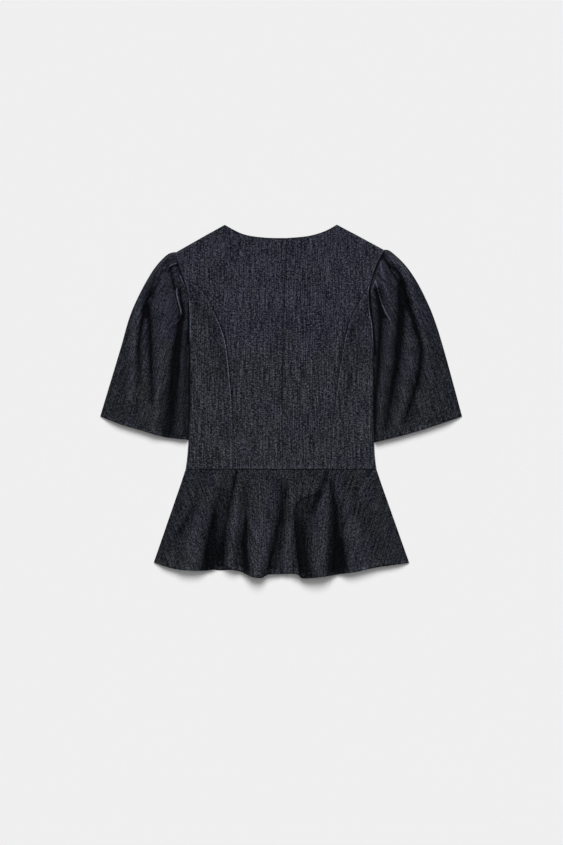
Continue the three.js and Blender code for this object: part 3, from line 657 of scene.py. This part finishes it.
@dataclass
class ClothMesh:
    """A wall of cloth about a grid of middle points.

    places holds the middle points, [x, y, z] in millimetres, and cut the same points on the flat cut,
    [across the grain, along the grain]. A tube closes on itself across its columns, and its cut then
    has one more column than its places. node is the frame's piece that it stands for.
    """

    node: str
    places: Array
    cut: Array
    # Per point: rubbing of the denim together with painted shade and painted highlights
    wear_and_painted_light: Array | float = 0.0
    tube: bool = False
    face_up: bool = True

    def build(self, finishes: Finishes) -> bpy.types.Object:
        """Make the mesh, its cut as a UV map in metres, and the wall's thickness."""
        rows, columns = self.places.shape[:2]
        i = np.arange(rows - 1)[:, None]
        j = np.arange(columns if self.tube else columns - 1)[None, :]
        following = (j + 1) % columns
        quads = self._quads(i, j, following, columns)
        cut_quads = self._quads(i, j, j + 1, self.cut.shape[1])
        points = self.places.reshape(-1, 3)
        a, b, d = (points[quads[:, k]] for k in (0, 1, 3))
        upward = np.cross(b - a, d - a)[:, 2].sum() if not self.tube else self._tube_turn(points, quads)
        if (upward > 0) != self.face_up:
            quads, cut_quads = quads[:, ::-1], cut_quads[:, ::-1]
        name = f"{self.node}_cloth"
        mesh = bpy.data.meshes.new(name)
        mesh.from_pydata((points * MM).tolist(), [], quads.tolist())
        layer = mesh.uv_layers.new(name="cut")
        layer.data.foreach_set("uv", (self.cut.reshape(-1, 2)[cut_quads.reshape(-1)] * MM).ravel())
        mesh.polygons.foreach_set("use_smooth", np.ones(len(quads), bool))
        # The material turns this attribute into colour: rubbing of the denim with painted shade and painted
        # highlights
        worn_and_shaded = mesh.attributes.new("wear_and_painted_light", "FLOAT", "POINT")
        worn_and_shaded.data.foreach_set("value", np.broadcast_to(self.wear_and_painted_light, (rows, columns)).ravel().astype(float))
        mesh.materials.append(finishes.outside)
        mesh.materials.append(finishes.inside)
        mesh.update()
        piece = bpy.data.objects.new(name, mesh)
        bpy.context.scene.collection.objects.link(piece)
        wall = piece.modifiers.new("wall", "SOLIDIFY")
        wall.thickness = CLOTH * MM
        wall.offset = 0.0
        wall.material_offset = 1
        wall.material_offset_rim = 0
        return piece

    @staticmethod
    def _quads(row: Array, column: Array, following: Array, columns: int) -> Array:
        """The corners of every face of a grid, by the places' numbers."""
        first, second = row * columns, (row + 1) * columns
        corners = (first + column, first + following, second + following, second + column)
        return np.stack(corners, axis=-1).reshape(-1, 4)

    @staticmethod
    def _tube_turn(points: Array, quads: Array) -> float:
        """Whether a tube's faces point out: the sum of each face's turn about the tube's middle."""
        a, b, c, d = (points[quads[:, k]] for k in range(4))
        normals = np.cross(c - a, d - b)
        middles = (a + b + c + d) / 4
        return float(np.einsum("ij,ij->", normals, middles - points.mean(axis=0)))

    def area(self) -> float:
        """The middle surface's area in square metres."""
        grid = self.places if not self.tube else np.concatenate([self.places, self.places[:, :1]], axis=1)
        a, b, c, d = grid[:-1, :-1], grid[:-1, 1:], grid[1:, 1:], grid[1:, :-1]
        return float(np.linalg.norm(np.cross(c - a, d - b), axis=-1).sum() / 2) * MM * MM


def flat_cloth(node: str, plan: Array, shift: float) -> ClothMesh:
    """A plain piece that lies on the table, its right side down, its cut moved by shift."""
    places = with_height(plan, np.full(plan.shape[:2], LOWER_MID))
    return ClothMesh(node, places, plan + shift, face_up=False)


def inset(plan: Array, amount: float, edges: str = "bottom top left right") -> Array:
    """Draw the named edges of a grid in plan inwards, each square to itself."""
    out = plan.copy()
    lines = {"bottom": np.s_[0], "top": np.s_[-1], "left": np.s_[:, 0], "right": np.s_[:, -1]}
    inner = {"bottom": np.s_[1], "top": np.s_[-2], "left": np.s_[:, 1], "right": np.s_[:, -2]}
    for edge in edges.split():
        line = plan[lines[edge]]
        run = np.gradient(line, axis=0)
        square = np.stack([-run[:, 1], run[:, 0]], axis=-1)
        square /= np.linalg.norm(square, axis=-1, keepdims=True)
        inward = plan[inner[edge]] - line
        square *= np.sign(np.einsum("ij,ij->i", square, inward))[:, None]
        out[lines[edge]] = out[lines[edge]] + amount * square
    return out


def with_height(plan: Array, height: Array) -> Array:
    """Places in plan and their heights as one grid of points."""
    return np.concatenate([plan, height[..., None]], axis=-1)


class Tree:
    """A node tree under construction."""

    def __init__(self, tree: bpy.types.NodeTree) -> None:
        """Hold the tree and start with an empty sheet."""
        self.tree = tree
        self.tree.nodes.clear()

    def add(self, kind: str, settings: dict[str, object] | None = None, **inputs: object) -> bpy.types.Node:
        """Add a node.

        Args:
            kind: the node's type.
            settings: its properties.
            inputs: its sockets by name, with spaces as underscores, or by number as i0, i1: a value or
                another node's output.

        Returns:
            The new node.
        """
        node = self.tree.nodes.new(kind)
        for key, value in (settings or {}).items():
            setattr(node, key, value)
        for key, value in inputs.items():
            numbered = key[0] == "i" and key[1:].isdigit()
            socket = node.inputs[int(key[1:])] if numbered else node.inputs[key.replace("_", " ")]
            if isinstance(value, Socket):
                self.tree.links.new(value, socket)
            else:
                socket.default_value = value
        return node

    def math(self, operation: str, a: object, b: object = 0.0, c: object = 0.0) -> Socket:
        """Add a Math node and give its output."""
        return self.add("ShaderNodeMath", {"operation": operation}, i0=a, i1=b, i2=c).outputs[0]

    def scaled(self, vector: object, scale: Triple, move: Triple) -> Socket:
        """Multiply a vector and then move it."""
        operation = {"operation": "MULTIPLY_ADD"}
        return self.add("ShaderNodeVectorMath", operation, i0=vector, i1=scale, i2=move).outputs[0]

    def ranged(self, value: object, low: float, high: float, first: float, last: float) -> Socket:
        """Map a value's range from low to high onto first to last, held at both ends."""
        ends = {"i1": low, "i2": high, "i3": first, "i4": last}
        return self.add("ShaderNodeMapRange", {"clamp": True}, i0=value, **ends).outputs[0]

    def noise(self, vector: object, detail: float, rough: float = 0.55) -> Socket:
        """Add a noise with features one unit wide, stretched to fill 0 to 1."""
        settings = {"noise_dimensions": "3D", "normalize": True}
        inputs = {"Scale": 1.0, "Detail": detail, "Roughness": rough}
        node = self.add("ShaderNodeTexNoise", settings, Vector=vector, **inputs)
        return self.ranged(node.outputs[0], *NOISE_RANGE, 0.0, 1.0)


@dataclass(frozen=True)
class Mark:
    """One kind of mark in the weave, in millimetres.

    shift and detail are those of its noise, tone is its share in how light the threads are and relief
    its share in their height.
    """

    width: float
    length: float
    shift: float
    detail: float = 1.0
    tone: float = 0.0
    relief: float = 0.0


SLUB = Mark(1.7, 42.0, 3.1, 2.0, tone=0.25, relief=0.10)
WARP = Mark(1.7, 4.0, 11.9, tone=0.22, relief=0.05)
WEFT = Mark(5.0, 1.7, 23.3, tone=0.24, relief=0.04)
SPECK = Mark(1.7, 1.7, 57.1, tone=0.24, relief=0.04)
CLOUD = Mark(55.0, 80.0, 41.7)
TWILL_WIDTH = 0.95
TWILL_TONE = 0.05
TWILL_RELIEF = 0.03


def weave_group() -> bpy.types.NodeTree:
    """The denim weave: uneven warp and weft threads, crossed, under a fine twill line.

    Its input is the place on the flat cut in metres. Tone is how light the threads are, from 0 to 1,
    Cloud a slow drift of the dye, and Height the thread's relief in millimetres.
    """
    group = bpy.data.node_groups.new("denim weave", "ShaderNodeTree")
    group.interface.new_socket("Vector", in_out="INPUT", socket_type="NodeSocketVector")
    for name in ("Tone", "Cloud", "Height"):
        group.interface.new_socket(name, in_out="OUTPUT", socket_type="NodeSocketFloat")
    tree = Tree(group)
    cut = tree.add("NodeGroupInput").outputs["Vector"]

    def noise(mark: Mark) -> Socket:
        """Noise drawn out to the size of one kind of mark."""
        scale = (1 / (mark.width * MM), 1 / (mark.length * MM), 1.0)
        move = (mark.shift, mark.shift * 1.7, mark.shift * 0.6)
        return tree.noise(tree.scaled(cut, scale, move), mark.detail)

    split = tree.add("ShaderNodeSeparateXYZ", i0=cut)
    turn = math.pi / (TWILL_WIDTH * MM)
    across = tree.math("MULTIPLY", split.outputs[0], 2 * turn)
    diagonal = tree.math("MULTIPLY_ADD", split.outputs[1], turn, across)
    twill = tree.math("MULTIPLY_ADD", tree.math("SINE", diagonal), 0.5, 0.5)
    parts = [(noise(mark), mark.tone, mark.relief) for mark in (SLUB, WARP, WEFT, SPECK)]
    tone = height = 0.0
    for part, lighter, higher in (*parts, (twill, TWILL_TONE, TWILL_RELIEF)):
        tone = tree.math("MULTIPLY_ADD", part, lighter, tone)
        height = tree.math("MULTIPLY_ADD", part, higher, height)
    cloud = noise(CLOUD)
    tree.add("NodeGroupOutput", Tone=tone, Cloud=cloud, Height=height)
    return group


@dataclass(frozen=True)
class Denim:
    """A finish of dark denim.

    dark and light are its two threads, and tint a second shade of the dye, into which it drifts in
    broad clouds and towards the neck, from neck[0] to neck[1] metres up the garment. threads is the
    range of tone that goes from dark to light, and a skew above 1 keeps most of it dark.
    fade_and_shading is how light the dye is painted where the per-point value is -1 and 1: painted
    shade in troughs and painted highlights on ridges, partly rubbing. dulled and polished are what that
    value does to the roughness, and bared_and_highlit how much of the light thread shows on a rubbed
    place with a painted highlight.
    """

    name: str
    dark: Triple
    light: Triple
    tint: Triple
    drift: Pair = (0.08, 0.6)
    neck: Pair = (0.04, 0.18)
    neck_drift: float = 0.65
    threads: Pair = (0.31, 0.69)
    roughness: Pair = (0.74, 0.34)
    gloss_tint: Triple = (0.80, 0.86, 1.0)
    gloss: float = 0.30
    skew: float = 1.8
    fade_and_shading: Pair = (0.12, 1.88)
    dulled: float = 0.38
    polished: float = 0.08
    bared_and_highlit: float = 0.6
    relief: float = 1.2

    def make(self, weave: bpy.types.NodeTree) -> bpy.types.Material:
        """Make the material: the dye between two tones of thread, with the weave as bump."""
        material = bpy.data.materials.new(self.name)
        material.use_nodes = True
        tree = Tree(material.node_tree)
        cut = tree.add("ShaderNodeUVMap", {"uv_map": "cut"}).outputs[0]
        threads = tree.add("ShaderNodeGroup", {"node_tree": weave}, Vector=cut)
        tone, cloud, height = (threads.outputs[k] for k in ("Tone", "Cloud", "Height"))
        contrast = tree.math("POWER", tree.ranged(tone, *self.threads, 0.0, 1.0), self.skew)
        worn_and_shaded = tree.add("ShaderNodeAttribute", {"attribute_name": "wear_and_painted_light"}).outputs["Fac"]
        # Light thread shows where the value is high: a painted highlight that stands partly for rubbing
        rubbed_and_highlit = tree.math("MAXIMUM", tree.math("SUBTRACT", worn_and_shaded, 0.5), 0.0)
        contrast = tree.math("MINIMUM", tree.math("MULTIPLY_ADD", rubbed_and_highlit, self.bared_and_highlit, contrast), 1.0)
        ends = {"A": (*self.dark, 1), "B": (*self.light, 1)}
        yarn = tree.add("ShaderNodeMix", {"data_type": "RGBA"}, Factor=contrast, **ends)
        place = tree.add("ShaderNodeSeparateXYZ", i0=tree.add("ShaderNodeTexCoord").outputs["Object"])
        neck = tree.ranged(place.outputs["Y"], *self.neck, 0.0, self.neck_drift)
        clouds = tree.ranged(cloud, *NOISE_RANGE, *self.drift)
        drift = tree.math("MINIMUM", tree.math("ADD", clouds, neck), 1.0)
        settings = {"data_type": "RGBA", "blend_type": "MULTIPLY"}
        dye = tree.add("ShaderNodeMix", settings, Factor=drift, A=yarn.outputs["Result"], B=(*self.tint, 1))
        # Painted shade and painted highlights, partly rubbing, scale the dye's colour
        painted_tone = tree.ranged(worn_and_shaded, -1.0, 1.0, *self.fade_and_shading)
        settings = {"operation": "SCALE"}
        colour = tree.add("ShaderNodeVectorMath", settings, i0=dye.outputs["Result"], Scale=painted_tone)
        spread = self.roughness[1] - self.roughness[0]
        rough = tree.math("MULTIPLY_ADD", contrast, spread, self.roughness[0])
        rough = tree.math("MULTIPLY_ADD", tree.math("MINIMUM", worn_and_shaded, 0.0), -self.dulled, rough)
        rough = tree.math("MULTIPLY_ADD", tree.math("MAXIMUM", worn_and_shaded, 0.0), -self.polished, rough)
        bump = tree.add("ShaderNodeBump", Strength=self.relief, Distance=MM, Height=height)
        shader = tree.add(
            "ShaderNodeBsdfPrincipled",
            Base_Color=colour.outputs[0],
            Roughness=rough,
            Normal=bump.outputs[0],
            Specular_IOR_Level=self.gloss,
            Specular_Tint=(*self.gloss_tint, 1),
        )
        tree.add("ShaderNodeOutputMaterial", Surface=shader.outputs[0])
        return material


@dataclass(frozen=True)
class Finishes:
    """The two sides of the cloth."""

    outside: bpy.types.Material
    inside: bpy.types.Material

    @classmethod
    def make(cls) -> Finishes:
        """Make both from one weave."""
        weave = weave_group()
        right = Denim(
            "denim right side",
            dark=(0.0005, 0.0008, 0.0021),
            light=(0.0452, 0.0504, 0.0558),
            tint=(0.98, 0.89, 1.17),
        )
        wrong = Denim(
            "denim wrong side",
            dark=(0.010, 0.011, 0.013),
            light=(0.06, 0.062, 0.068),
            tint=(0.8, 0.85, 1.1),
        )
        return cls(right.make(weave), wrong.make(weave))


def extent(plan: Array) -> Array:
    """The width and length of a grid in plan."""
    return plan.max(axis=(0, 1)) - plan.min(axis=(0, 1))


def lay(cloth: ClothMesh, finishes: Finishes, flat: Sequence[float]) -> None:
    """Make a piece of cloth and tie it to its node of the frame.

    Args:
        cloth: the wall of cloth.
        finishes: its two sides.
        flat: the width and length of its cut, in millimetres.
    """
    piece = cloth.build(finishes)
    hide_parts(cloth.node)
    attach(piece, "root")
    log.info("%s: cut %.0f by %.0f mm, %.4f m2", cloth.node, *flat, cloth.area())


@dataclass
class Bodice:
    """The back of the body: two centre panels and two side panels over the plain front."""

    finishes: Finishes
    fine: int = 12

    def relief(self, x: Array, y: Array) -> Array:
        """What sewing leaves on the back: its seams, pressed away from the centre, and the waist's."""
        total = RELIEF.seam(-walk(CENTRE.run(1, 0, 24), x, y)[1])
        for side in (LEFT, RIGHT):
            beside = walk(side.curves["princess"].run(1, 0, 40), x, y)[1]
            total = total + RELIEF.seam(beside * side.sign) * (0.3 + 0.7 * self.drawn(side, y))
        above_waist = y - WAIST_Y
        pressed = smooth(share(above_waist, 0, 2.2)) * (1 - smooth(share(above_waist, 6, 11)))
        total = total + RELIEF.waist_rise * pressed
        calm = smooth(share(above_waist, 0, 20))
        return total + RELIEF.body_uneven * calm * hand(x, y, seed=0.7, size=60.0)

    @staticmethod
    def drawn(side: Side, y: Array) -> Array:
        """How far a princess seam draws its cloth into a line: most at the middle of the back."""
        most = 1.0 if side is LEFT else 0.6
        return most * (1 - 0.7 * smooth(share(y, 110, 190))) * mix(0.3, 1.0, smooth(share(y, -60, 20)))

    def wear_and_painted_light(self, plan: Array) -> Array:
        """Painted highlights, partly rubbing, on raised seam edges and body edges; painted shade in seam
        grooves, at the neck and shoulder edges, under the waist seam's edge and softly beside the princess
        seams.
        """
        x, y = plan[..., 0], plan[..., 1]
        total = CENTRE_SEAM_PAINTED_SHADE.at(walk(CENTRE.run(1, 0, 24), x, y)[1])
        for side in (LEFT, RIGHT):
            c = side.curves
            off = walk(c["princess"].run(1, 0, 40), x, y)[1] * side.sign
            total = total + self.drawn(side, y) * (PRINCESS_RUB_AND_HIGHLIGHT.at(off) + PRINCESS_PAINTED_SHADE.at(off))
            total = total + smooth(share(y, -30, 60)) * PRINCESS_SOFT_PAINTED_SHADE.at(off)
            edge = np.vstack([c["side"].run(0, 1, 30), c["armhole"].run(1, 0, 40)[1:]])
            total = total + BODY_EDGE_RUB_AND_HIGHLIGHT.at(walk(edge, x, y)[1]) * smooth(share(y, -100, -60))
            top = np.vstack([c["neckline"].run(0, 1, 40), c["shoulder"].run(0, 1, 4)[1:]])
            own = smooth(share(x * side.sign, -6, 0))
            total = total + own * NECK_EDGE_PAINTED_SHADE.at(walk(top, x, y)[1])
        above_waist = y - WAIST_Y
        middle = smooth(share(x, -92, -70)) * (1 - smooth(share(x, 70, 95)))
        total = total + middle * WAIST_RUB_AND_HIGHLIGHT.at(above_waist)
        return total + mix(0.1, 0.7, middle) * WAIST_PAINTED_SHADOW.at(above_waist)

    def height(self, plan: Array) -> Array:
        """Mid height of the finished back."""
        x, y = plan[..., 0], plan[..., 1]
        base = body_mid(x, y)
        return base + self.relief(x, y) * roll((base - UPPER_MID) / BODY_EDGE_FADE)

    def centre_plan(self, side: Side) -> Array:
        """A half of the centre back: waist, neck and shoulder, centre seam, princess and armhole."""
        c, n = side.curves, self.fine
        princess = c["princess"].run(0, 1, 12 * n)
        outer = np.vstack([princess, c["armhole"].run(side.junction, 0, 5 * n)[1:]])
        centre = np.vstack([CENTRE.run(0, 0.81, 12 * n), CENTRE.run(0.81, 1, 5 * n)[1:]])
        top = np.vstack([c["neckline"].run(0, 1, 5 * n), c["shoulder"].run(0, 1, 3 * n)[1:]])
        waist = mix(centre[0], princess[0], np.linspace(0, 1, 8 * n + 1)[:, None])
        return patch(waist, top, centre, outer)

    def side_plan(self, side: Side) -> Array:
        """A side panel: waist, armhole under the princess, princess seam, side seam and underarm."""
        c, n = side.curves, self.fine
        low = mix(side.junction, 1.0, 0.7)
        princess = c["princess"].run(0, 1, 16 * n)
        outer = np.vstack([c["side"].run(0, 1, 10 * n), c["armhole"].run(1, low, 6 * n)[1:]])
        top = c["armhole"].run(side.junction, low, 6 * n)
        waist = mix(princess[0], outer[0], np.linspace(0, 1, 6 * n + 1)[:, None])
        return patch(waist, top, princess, outer)

    def front_plan(self) -> Array:
        """The plain front, row by row from the waist to the shoulders, parted at the neckline."""
        left, right = LEFT.neck_point, RIGHT.neck_point
        low = (0.5 * (left[0] + right[0]), left[1] - FRONT_NECK_DEPTH)
        west, east = ((x * 0.72, y - FRONT_NECK_DEPTH * 0.7) for x, y in (left, right))
        neck = Spline((left, west, low, east, right))
        curves = (LEFT.curves, RIGHT.curves)
        sides = [np.vstack([c["side"].run(0, 1, 48), c["armhole"].run(1, 0, 48)[1:]]) for c in curves]
        shoulders = [curves[0]["shoulder"].run(1, 0, 24), curves[1]["shoulder"].run(0, 1, 24)]
        top = np.vstack([shoulders[0], neck.run(0, 1, 72)[1:], shoulders[1][1:]])
        waist = mix(sides[0][0], sides[1][0], np.linspace(0, 1, 121)[:, None])
        return patch(waist, top, sides[0], sides[1])

    def build(self) -> None:
        """Make the five pieces of the body."""
        for word, side in (("left", LEFT), ("right", RIGHT)):
            self._panel(f"back_{word}", side, self.centre_plan(side), 0.0)
            self._panel(f"side_back_{word}", side, self.side_plan(side), SIDE_SHIFT)
        plan = inset(self.front_plan(), GAP / 2)
        lay(flat_cloth("front", plan, FRONT_SHIFT), self.finishes, extent(plan))

    def _panel(self, node: str, side: Side, plan: Array, shift: float) -> None:
        """Make a panel of the back, a hair smaller than its cut."""
        moved = inset(plan, SEAM_INSET)
        cut = plan + np.array([side.sign * (shift + CENTRE_SHIFT), shift])
        cloth = ClothMesh(node, with_height(moved, self.height(moved)), cut, self.wear_and_painted_light(moved))
        lay(cloth, self.finishes, extent(plan))


@dataclass
class Sleeve:
    """A short sleeve pressed flat: a folded upper layer, pleated into the armhole, and a lower one."""

    word: str
    side: Side
    folds: Sequence[Fold]
    creases: Sequence[Fold]
    finishes: Finishes
    columns: int = 150
    rows: int = 255

    ROW_POWER = 1.25
    LOWER_STEP = 5
    TURN_STEPS = 6

    def upper_height(self, across: Array, down: Array, plan: Array) -> Array:
        """Mid height of the upper layer with its hem and the cloth's unevenness."""
        x, y = plan[..., 0], plan[..., 1]
        base = sleeve_mid(self.side, self.folds, across, down, plan)
        length = self.side.curves["outer"].length
        fine = RELIEF.hemmed((1 - down) * length) + folds_at(self.creases, x, y)
        uneven = RELIEF.uneven * smooth(down / 0.1) * hand(x, y, seed=2.1 + self.side.sign, size=34.0)
        fine = fine + uneven + RELIEF.seam(down * length)
        return base + fine * roll((base - UPPER_MID) / EDGE_FADE)

    def build(self) -> None:
        """Make the tube, ring after ring from the armhole to the hem."""
        width = self.side.curves["armhole"].length
        length = self.side.curves["outer"].length
        rows = np.linspace(0, 1, self.rows + 1) ** self.ROW_POWER
        down, across = np.meshgrid(rows, np.linspace(0, 1, self.columns + 1), indexing="ij")
        plan = inset(sleeve_plan(self.side, across, down), GAP / 2, "bottom")
        upper = with_height(plan, self.upper_height(across, down, plan))
        back = plan[:, :: -self.LOWER_STEP]
        lower = with_height(back, np.full(back.shape[:2], LOWER_MID))
        arc = np.linspace(0, np.pi, self.TURN_STEPS + 1)[1:-1]
        inner = self._turn(upper[:, -1], lower[:, 0], plan[:, -1] - plan[:, -3], arc)
        outer = self._turn(lower[:, -1], upper[:, 0], plan[:, 0] - plan[:, 2], arc)
        places = np.concatenate([upper, inner, lower, outer], axis=1)
        # Painted shade in troughs and beside pleats, painted highlights on ridges and pleat edges, partly
        # rubbing, the hem's colour, and painted shade on both folded edges
        wear_and_painted_light = np.zeros(places.shape[:2])
        x, y = plan[..., 0], plan[..., 1]
        worn_and_shaded = SLEEVE_WEAR_AND_PAINTED_LIGHT.at(self.folds, x, y) + CREASE_WEAR_AND_PAINTED_LIGHT.at(self.creases, x, y)
        wear_and_painted_light[:, : self.columns + 1] = worn_and_shaded + RELIEF.hem_wear_and_shade((1 - down) * length, x, y)
        turned = len(arc)
        wear_and_painted_light[:, self.columns + 1 : self.columns + 1 + turned] = TURNED_EDGE_PAINTED_SHADE
        wear_and_painted_light[:, -turned:] = TURNED_EDGE_PAINTED_SHADE
        cloth = ClothMesh(f"sleeve_{self.word}", places, self._cut(places), wear_and_painted_light, tube=True)
        lay(cloth, self.finishes, (2 * width + 2 * np.pi * TURN, length))

    @staticmethod
    def _turn(start: Array, end: Array, outward: Array, arc: Array) -> Array:
        """Half circles between the two layers, bulging outwards in plan."""
        out = outward / np.linalg.norm(outward, axis=-1, keepdims=True)
        middle = 0.5 * (start + end)
        radius = 0.5 * (start[:, 2] - end[:, 2])
        angle = arc[None, :]
        rise = radius[:, None] * np.cos(angle)
        reach = np.minimum(np.abs(radius), TURN)[:, None] * np.sin(angle)
        points = np.repeat(middle[:, None], len(arc), axis=1)
        points[..., :2] += reach[..., None] * out[:, None]
        points[..., 2] += rise
        return points

    def _cut(self, places: Array) -> Array:
        """The ring of points laid out flat: across by the way round, along by the way down."""
        ring = np.concatenate([places, places[:, :1]], axis=1)
        flat_steps = np.linalg.norm(np.diff(ring, axis=1), axis=-1)
        across = np.concatenate([np.zeros((len(ring), 1)), np.cumsum(flat_steps, axis=1)], axis=1)
        middle = self.columns // 2
        across = across - across[:, middle : middle + 1]
        down = np.linspace(0, self.side.curves["outer"].length, len(ring))[:, None]
        across = across + SLEEVE_SHIFT * self.side.sign
        return np.stack([across, np.broadcast_to(-down, across.shape)], axis=-1)


def peplum_plan(hem: Sequence[Point], columns: int, rows: int) -> Array:
    """A grid in plan from the waist seam down to a hem, its side edges straight."""
    edge = Spline(hem).run(0, 1, columns)
    waist = mix(np.array(LEFT.side[0]), np.array(RIGHT.side[0]), np.linspace(0, 1, columns + 1)[:, None])
    down = np.linspace(0, 1, rows + 1)[:, None]
    return patch(waist, edge, mix(waist[0], edge[0], down), mix(waist[-1], edge[-1], down))


@dataclass
class Peplum:
    """The peplum: its waved back, cut on a ring, over its plain front."""

    finishes: Finishes
    columns: int = 320
    rows: int = 130
    ring_turn: float = math.radians(90)
    ring_radius: float = 207.0

    FRONT_GRID = (96, 40)

    def relief(self, x: Array, y: Array, above_hem: Array) -> Array:
        """The pressed waist seam, the hem and the cloth's unevenness."""
        below_waist = WAIST_Y - y
        total = -RELIEF.waist_sunk * (1 - smooth(share(below_waist, 0.5, 4.0)))
        total = total + RELIEF.hemmed(above_hem) + folds_at(PEPLUM_CREASES, x, y)
        return total + RELIEF.uneven * smooth(below_waist / 25) * hand(x, y, seed=5.3, size=34.0)

    def build(self) -> None:
        """Make the back and the front of the peplum."""
        plan = peplum_plan(BACK_HEM, self.columns, self.rows)
        plan = inset(inset(plan, GAP / 2, "top left right"), SEAM_INSET, "bottom")
        x, y = plan[..., 0], plan[..., 1]
        depth = np.linalg.norm(np.diff(plan, axis=0), axis=-1).sum(axis=0)
        down = np.linspace(0, 1, self.rows + 1)[:, None]
        above_hem = (1 - down) * depth
        base = peplum_mid(x, y)
        z = base + self.relief(x, y, above_hem) * roll((base - UPPER_MID) / EDGE_FADE)
        # Painted shade in troughs and on flanks, painted highlights on ridges, partly rubbing, the hem's
        # colour and painted shade along the side edges
        worn_and_shaded = PEPLUM_WEAR_AND_PAINTED_LIGHT.at((*PEPLUM_FOLDS, *PEPLUM_PAINTED_SHADING), x, y) + CREASE_WEAR_AND_PAINTED_LIGHT.at(PEPLUM_CREASES, x, y)
        beside = by_side(x, y, lambda s: s.sign * (peplum_edge_x(s, y) - x))
        worn_and_shaded = worn_and_shaded + RELIEF.hem_wear_and_shade(above_hem, x, y) + PEPLUM_EDGE_PAINTED_SHADE.at(beside)
        cloth = ClothMesh("peplum_back", with_height(plan, z), self._cut(down, depth), worn_and_shaded)
        lay(cloth, self.finishes, self._flat(float(depth.mean())))
        plan = inset(peplum_plan(FRONT_HEM, *self.FRONT_GRID), GAP / 2)
        lay(flat_cloth("peplum_front", plan, PEPLUM_FRONT_SHIFT), self.finishes, extent(plan))

    def _cut(self, down: Array, depth: Array) -> Array:
        """The back's places laid out flat on the ring."""
        angle = (np.linspace(0, 1, self.columns + 1) - 0.5) * self.ring_turn
        radius = self.ring_radius + down * depth
        return np.stack([radius * np.sin(angle), -radius * np.cos(angle)], axis=-1) + PEPLUM_SHIFT

    def _flat(self, depth: float) -> Pair:
        """The width and length of the ring's cut: its outer chord and the drop from there to its ends."""
        outer = self.ring_radius + depth
        half_turn = self.ring_turn / 2
        return 2 * outer * math.sin(half_turn), outer - self.ring_radius * math.cos(half_turn)


@dataclass(frozen=True)
class Studio:
    """A pale floor, soft light from above and a camera that looks straight down."""

    frame_height: float = 1.445
    lens: float = 100.0
    film: float = 36.0
    aim: Pair = (0.0006, -0.0363)
    floor_tone: float = 0.765
    floor_half: float = 4.0
    floor_height: float = -0.0004
    sky: float = 0.035

    def build(self) -> None:
        """Make the stage, the lights and the camera."""
        self._floor()
        self._sun("overhead", strength=0.85, spread=34.0, tilt=3.0)
        self._sun("window", strength=3.3, spread=34.0, tilt=38.0).visible_glossy = False
        world = bpy.data.worlds.new("studio")
        world.use_nodes = True
        background = world.node_tree.nodes["Background"]
        background.inputs["Color"].default_value = (1.0, 1.0, 1.0, 1.0)
        background.inputs["Strength"].default_value = self.sky
        bpy.context.scene.world = world
        bpy.context.scene.view_settings.view_transform = "Standard"
        self._camera()

    def _floor(self) -> None:
        """A plain pale floor, just under the table plane."""
        mesh = bpy.data.meshes.new("floor")
        half, z = self.floor_half, self.floor_height
        corners = [(-half, -half, z), (half, -half, z), (half, half, z), (-half, half, z)]
        mesh.from_pydata(corners, [], [(0, 1, 2, 3)])
        floor = bpy.data.objects.new("floor", mesh)
        bpy.context.scene.collection.objects.link(floor)
        material = bpy.data.materials.new("floor")
        material.use_nodes = True
        shader = material.node_tree.nodes["Principled BSDF"]
        shader.inputs["Base Color"].default_value = (self.floor_tone,) * 3 + (1.0,)
        shader.inputs["Roughness"].default_value = 1.0
        shader.inputs["Specular IOR Level"].default_value = 0.0
        mesh.materials.append(material)

    @staticmethod
    def _sun(name: str, strength: float, spread: float, tilt: float) -> bpy.types.Object:
        """A broad soft lamp, tilted from overhead towards the neck end."""
        lamp = bpy.data.lights.new(name, "SUN")
        lamp.energy = strength
        lamp.angle = math.radians(spread)
        holder = bpy.data.objects.new(name, lamp)
        holder.rotation_euler = (-math.radians(tilt), 0.0, 0.0)
        bpy.context.scene.collection.objects.link(holder)
        return holder

    def _camera(self) -> None:
        """A long lens straight above, its frame as tall as the photograph's."""
        data = bpy.data.cameras.new("camera")
        data.lens = self.lens
        data.sensor_width = self.film
        data.clip_end = 20.0
        camera = bpy.data.objects.new("camera", data)
        camera.location = (*self.aim, self.frame_height * self.lens / self.film)
        bpy.context.scene.collection.objects.link(camera)
        bpy.context.scene.camera = camera


def main() -> None:
    """Build the garment on its frame and light it."""
    logging.basicConfig(level=logging.INFO, format="%(name)s: %(message)s")
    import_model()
    Studio().build()
    finishes = Finishes.make()
    Bodice(finishes).build()
    Sleeve("left", LEFT, LEFT_SLEEVE_FOLDS, LEFT_SLEEVE_CREASES, finishes).build()
    Sleeve("right", RIGHT, RIGHT_SLEEVE_FOLDS, RIGHT_SLEEVE_CREASES, finishes).build()
    Peplum(finishes).build()
    bpy.context.view_layer.update()


if __name__ == "__main__":
    main()
